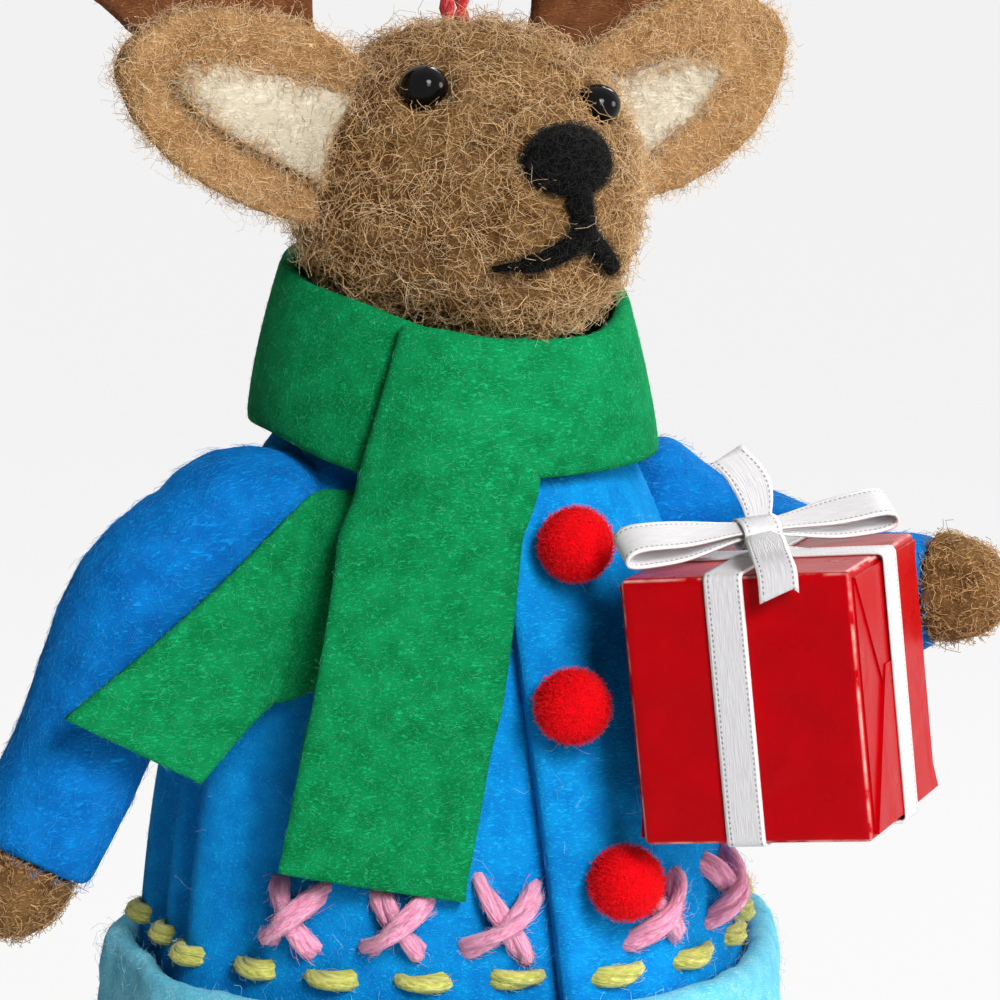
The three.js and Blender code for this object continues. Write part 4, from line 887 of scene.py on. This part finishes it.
collar = strip("scarf_wrap", 150, 20, collar_face, 1)
dress(collar, "figure", "green_felt", [green_felt], "scarf_collar")
nap(collar, 5200, 81)

front = strip("scarf_front", 24, 68, front_face, 2)
side = strip("scarf_side", 60, 24, side_face, 3)
hinge = on_body(HINGE_ANGLE, HINGE_HEIGHT, HINGE_LIFT + SCARF_FELT)
fold_line = on_body(ROOT_ANGLE, ROOT_HEIGHT, ROOT_LIFT)
tails = ((front, "front_tail", ("scarf_crossing", "scarf_front_tail"), (0.0165, 0.0505),
          hinge + Vector((0, 0, 0.002)), hinge - Vector((0, 0, 0.004)), 4600, 82),
         (side, "side_tail", ("scarf_tuck", "scarf_side_tail"), (0.0137, 0.0365),
          fold_line + Vector((0.002, -0.001, 0)), fold_line - Vector((0.004, 0.0005, 0.002)), 3800, 83))
for piece, body, nodes, flat, start, end, count, seed in tails:
    hairs = nap(piece, count, seed)
    dress(piece, None, "green_felt", [green_felt], *nodes)
    for part in (piece, hairs):
        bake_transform(part)

# Arms: sleeves of blue wool roving wound lengthwise over stuffing, set into the coat's arm holes,
# each with a rounded hand of brown wool. The left arm reaches round the back of the gift.
CAP = ((-20.6, -2.2, 49.3), (8.2, 6.4, 4.9))
SLEEVE_DIP, DIP_START, DIP_STOP, DIP_LEFT, DIP_TOP = 3.2, (1, 8), (16, 26), 0.6, (38, 48)
blue_roving = felt("blue_roving", "045aa6", "0e92e8", grain=1000)
roving_fibre = fibre("roving_fibre", "0a70c0", "2296e6")


def dip(sleeve):
    """Lowers the top of the left sleeve between shoulder and elbow."""
    joint = place(*SHOULDER)
    for vert in sleeve.data.vertices:
        away = (vert.co - joint).xy.length / MM
        bend = ease(away, *DIP_START) * (1 - DIP_LEFT * ease(away, *DIP_STOP))
        vert.co.z -= SLEEVE_DIP * MM * bend * ease((vert.co.z - HEM) / MM, *DIP_TOP)


arms = (("right", (-0.5, 0, -0.87), CAP, None), ("left", (0.38, -0.92, -0.1), None, dip))
for seed, (which, way, cap, shaped) in enumerate(arms):
    body = f"{which}_arm"
    sleeve = stuffed(f"{which}_sleeve", f"{which}_sleeve_wool", "blue_wool", blue_roving, voxel=0.6, passes=8,
                     lumps=0.5, swell=0.15, tuft=cap, shaped=shaped, body=body)
    grow(sleeve, f"{which}_sleeve_roving", roving_fibre, 2700, 2, 90 + seed, points=4, low=-7, high=1,
         comb=way, spread=40, curl=0.7, curl_size=1.2, thickness=0.014)
    hand = stuffed(f"{which}_hand_hoof", f"{which}_hand_wool", "brown_wool", brown_wool, voxel=0.45, passes=5,
                   lumps=0.3, body=body)
    grow(hand, f"{which}_hand_fibres", brown_fibre, 1000, 1.7, 92 + seed, low=-9, high=5, curl=1.1,
         curl_size=0.7)

# Gift: a block wrapped in glossy red paper, its ends folded in and stuck down as four flaps.
# It is tied both ways with narrow white satin ribbon and rides on the left arm.
# A flap has the y and z of its corners, and how far it stands off the gift's end.
GIFT_TURN, GIFT_ROLL = -49, -6
WRAP, WRAP_EDGE = Vector((20.3, 19.6, 23)), 0.55
PANEL_AREA, PANEL_INSET, PAPER, SHARP_FOLD = 100, 0.6, 0.05, 35
FLAPS = (((-9.2, -10.7), (-9.2, 10.7), (-4, 5.8), (-4, -5.8), 0.14),
         ((9.2, 10.7), (9.2, -10.7), (4, -5.8), (4, 5.8), 0.14),
         ((-9.2, 10.9), (9.2, 10.9), (2.6, -1.4), (-2.6, -1.4), 0.3),
         ((9.2, -10.9), (-9.2, -10.9), (-3.2, 2.4), (3.2, 2.4), 0.44))
gift_low, gift_high = (Vector(corner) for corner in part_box("gift_block"))
gift_frame = (Matrix.Translation((gift_low + gift_high) / 2)
              @ Matrix.Rotation(math.radians(GIFT_TURN), 4, "Z")
              @ Matrix.Rotation(math.radians(GIFT_ROLL), 4, "Y") @ Matrix.Scale(MM, 4))


def gloss_paper(name, dark, light, bare):
    """Coated wrapping paper: a faint mottle, shallow crumples, and a pale colour on its rounded folds, partly
    white pulp where they are worn and partly a painted highlight.
    """
    material, tree, shader = surface(name, {"IOR": 1.16})
    where = node(tree, "TexCoord").outputs["Object"]
    mottle = clouds(tree, where, 260, 4)
    patchy_edge = ranged(tree, clouds(tree, where, 420, 4), 0.4, 0.6)
    # The pale edge colour is partly wear and partly a painted highlight along the folds.
    wear_and_highlight = node(tree, "Attribute", attribute_name="wear_and_highlight").outputs["Fac"]
    shade = tones(tree, maths(tree, "MULTIPLY", wear_and_highlight, patchy_edge), tones(tree, mottle, dark, light), bare)
    tree.links.new(ranged(tree, mottle, 0, 1, 0.22, 0.36), shader.inputs["Roughness"])
    cover(tree, shader, shade, clouds(tree, where, 130, 2, 0.8), 0.25, 0.001)
    return material


bm = bmesh.new()
bmesh.ops.create_cube(bm, size=1)
bmesh.ops.scale(bm, vec=WRAP, verts=bm.verts)
bmesh.ops.bevel(bm, geom=bm.edges, offset=WRAP_EDGE, offset_type="OFFSET", segments=4, profile=0.5,
                affect="EDGES", material=-1)
# Marks the rounded edges that are painted pale: partly wear, partly painted highlight.
wear_and_highlight = bm.verts.layers.float.new("wear_and_highlight")
for vert in bm.verts:
    depths = sorted(WRAP[i] / 2 - abs(vert.co[i]) for i in range(3))
    vert[wear_and_highlight] = 1 if depths[1] < WRAP_EDGE / 2 else 0
panels = [face for face in bm.faces if face.calc_area() > PANEL_AREA]
bmesh.ops.inset_individual(bm, faces=panels, thickness=PANEL_INSET)
for end in (-1, 1):
    for *corners, layer in FLAPS:
        cut = [bm.verts.new((end * (WRAP.x / 2 - PAPER), y, z)) for y, z in corners]
        flap = bmesh.ops.contextual_create(bm, geom=cut)["faces"]
        raised = bmesh.ops.extrude_face_region(bm, geom=flap)["geom"]
        top = [part for part in raised if isinstance(part, bmesh.types.BMVert)]
        bmesh.ops.translate(bm, vec=(end * (layer + PAPER), 0, 0), verts=top)
        sides = list({face for vert in cut + top for face in vert.link_faces})
        bmesh.ops.recalc_face_normals(bm, faces=sides)
in_order(bm)
bmesh.ops.transform(bm, matrix=gift_frame, verts=bm.verts)
wrap = formed("gift_wrap", bm)
# The last colour is the pale edge: worn pulp and painted highlight.
red_paper = gloss_paper("red_paper", "980007", "b4000a", "e0a49c")
dress(wrap, "left_arm", "red_paper", [red_paper], "gift_paper", "gift_right_end", "gift_left_end")
wrap.data.set_sharp_from_angle(angle=math.radians(SHARP_FOLD))
board, tree, shader = surface("light_board", {})
pulp = clouds(tree, node(tree, "TexCoord").outputs["Object"], 700, 3)
tree.links.new(tones(tree, pulp, "c9c0ae", "e6dfd0"), shader.inputs["Base Color"])
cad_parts["gift_block"].data.materials.clear()
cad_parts["gift_block"].data.materials.append(board)

# Ribbon: narrow white satin with a plain selvedge and a row of stitch holes along both edges.
# One band goes over the gift from front to back, one from side to side, and a bow is tied on top.
RIBBON, RIBBON_WIDTH, RIBBON_COLUMNS, TIE_SHIFT = 0.24, 3.4, 8, -0.9
HOLE_ROW, HOLE_STEP, SILK_STREAK = 0.385, 0.46, (26, 0.55, 1)
TIED, END_FOLD = RIBBON / 2 + 0.03, 0.45
LOOP_LENGTH, LOOP_RISE, LEFT_LIFT, RIGHT_LIFT = 12.5, 2, -0.3, -0.4
BOW_TILT, BOW_TURN = math.radians(34), math.radians(40)
DECK = WRAP.z / 2 + 0.9
KNOT_TOP, KNOT_HALF, KNOT_RISE = DECK + 2.6, 1.7, 1.25
X, Y, Z = Vector((1, 0, 0)), Vector((0, 1, 0)), Vector((0, 0, 1))


def satin_ribbon():
    """Satin: long silky streaks, a plain raised edge, and a row of stitch holes inside each edge."""
    material, tree, shader = surface("white_satin", {"Roughness": 0.42, "Specular IOR Level": 0.4})
    parts = node(tree, "SeparateXYZ", {0: node(tree, "TexCoord").outputs["UV"]})
    across, along = parts.outputs["X"], parts.outputs["Y"]
    off = maths(tree, "ABSOLUTE", maths(tree, "SUBTRACT", across, 0.5))
    edge = ranged(tree, off, 0.41, 0.43)
    row = ranged(tree, maths(tree, "ABSOLUTE", maths(tree, "SUBTRACT", off, HOLE_ROW)), 0.03, 0.01)
    wave = maths(tree, "SINE", maths(tree, "MULTIPLY", along, 2 * math.pi / HOLE_STEP))
    holes = maths(tree, "MULTIPLY", ranged(tree, wave, -0.1, 0.5), row)
    long_way = out(tree, "CombineXYZ", {"X": across, "Y": along})
    long_way = out(tree, "VectorMath", {0: long_way, 1: SILK_STREAK}, operation="MULTIPLY")
    streaks = clouds(tree, long_way, 1, 3)
    shade = tones(tree, edge, tones(tree, streaks, "b2b1b6", "dddcdf"), "dedcdc")
    raised = maths(tree, "MULTIPLY_ADD", edge, 0.5, streaks)
    height = maths(tree, "SUBTRACT", raised, holes)
    cover(tree, shader, tones(tree, holes, shade, "8e8c90"), height, 0.6, 0.0001)
    return material


SATIN = satin_ribbon()


def ribbon(name, line, across, solid, closed=False, pinch=(1, 1), drawn=5, slant=0, shift=TIE_SHIFT):
    """A strip of ribbon whose middle follows a line in the gift's own frame, across a direction.

    Its ends are drawn in to the shares in pinch, and its last end is cut at a slant."""
    runs = [run for _, _, run in followed(line)]
    side = across.normalized() * RIBBON_WIDTH / 2
    rows = len(line) - 1
    tip = (line[-1] - line[-2]).normalized() * slant / 2

    def face(u, v):
        row = round(v * rows)
        first = mix(pinch[0], 1, ease(runs[row], 0, drawn))
        last = mix(pinch[1], 1, ease(runs[-1] - runs[row], 0, drawn))
        cut = tip * (2 * u - 1) if row == rows else Vector()
        return gift_frame @ (line[row] + X * shift + side * (2 * u - 1) * first * last + cut)

    piece = cloth(name, RIBBON_COLUMNS, rows, face, RIBBON, closed)
    piece.modifiers["thickness"].offset = 0
    for loop in piece.data.uv_layers["cut"].data:
        loop.uv.y = runs[round(loop.uv.y * rows)]
    return dress(bake(piece), "left_arm", "satin", [SATIN], solid)


def round_block(half_across, first, hump=0):
    """The line of a band round the block, with rounded corners and a hump over what it crosses on top."""
    half_up = WRAP.z / 2 + TIED
    line = []
    for corner, (sx, sz) in enumerate(((1, 1), (1, -1), (-1, -1), (-1, 1))):
        for turn in (math.radians(90 - 90 * corner - 18 * step) for step in range(6)):
            x = sx * (half_across - WRAP_EDGE) + WRAP_EDGE * math.cos(turn)
            line.append(first * x + Z * (sz * (half_up - WRAP_EDGE) + WRAP_EDGE * math.sin(turn)))
    over = [first * x + Z * (half_up + hump * (1 - ease(abs(x), 1.4, 2.8))) for x in (-3, -2, -1, 0, 1, 2, 3)]
    return over[3:] + line + over[:4]


ribbon("front_band", round_block(WRAP.y / 2 + TIED, -Y), X, "gift_front_ribbon", closed=True)
ribbon("side_band", round_block(WRAP.x / 2 + END_FOLD + TIED, X, RIBBON), Y, "gift_side_ribbon", closed=True,
       shift=0)

turned = Matrix.Rotation(BOW_TURN, 4, "Z")
lean = (Matrix.Translation((0, 0, DECK + RIBBON_WIDTH / 2 * math.sin(BOW_TILT))) @ turned
        @ Matrix.Rotation(BOW_TILT, 4, "X"))
# A loop goes out from the knot by shares of its length, and up from its foot; both ends are given.
loop = ((0.3, 0.1), (0.6, -0.1), (0.92, 0.1), (1, LOOP_RISE * 0.5), (0.9, LOOP_RISE), (0.5, LOOP_RISE * 0.7))
shape = [(0.4, 0.5), *((LOOP_LENGTH * share, up) for share, up in loop), (0.4, LOOP_RISE * 0.45)]
for side, way, lift in (("left", 1, LEFT_LIFT), ("right", -1, RIGHT_LIFT)):
    curve = [Vector((way * x, 0, z + lift * ease(x, 2, LOOP_LENGTH))) for x, z in shape]
    ribbon(f"bow_{side}", [lean @ p for p in through(curve, 6)], lean.to_3x3() @ Y, f"bow_{side}_loop",
           pinch=(0.4, 0.4), drawn=8)
edge = WRAP.y / 2 + 0.5
upper = ((0.2, 0.4, KNOT_TOP - 1.6), (-0.1, 1.3, KNOT_TOP + 1.2), (-1, 1.6, KNOT_TOP + 3.4),
         (-2.6, 1.7, KNOT_TOP + 5.2))
lower = ((0.6, -0.8, DECK + 1.2), (2.4, -5, DECK + 1.3), (4.2, 0.8 - edge, DECK + 0.9),
         (5.2, -edge - 0.8, DECK - 0.4), (5.3, -edge - 1, DECK - 2.4))
ends = (("upper", upper, (0.9, 0.4, 0.2), 1), ("lower", lower, (1, 0.1, 0.1), -1))
for which, points, across, slant in ends:
    ribbon(f"bow_{which}_end", through([Vector(p) for p in points], 6), Vector(across), f"bow_{which}_tail",
           pinch=(0.6, 1), slant=slant)
turns = [2 * math.pi * i / 24 for i in range(25)]
wound = [Vector((0, KNOT_HALF * math.cos(t), DECK + 1.2 + KNOT_RISE * math.sin(t))) for t in turns]
ribbon("bow_wrap", [turned @ point for point in wound], turned.to_3x3() @ X, "bow_knot", closed=True)
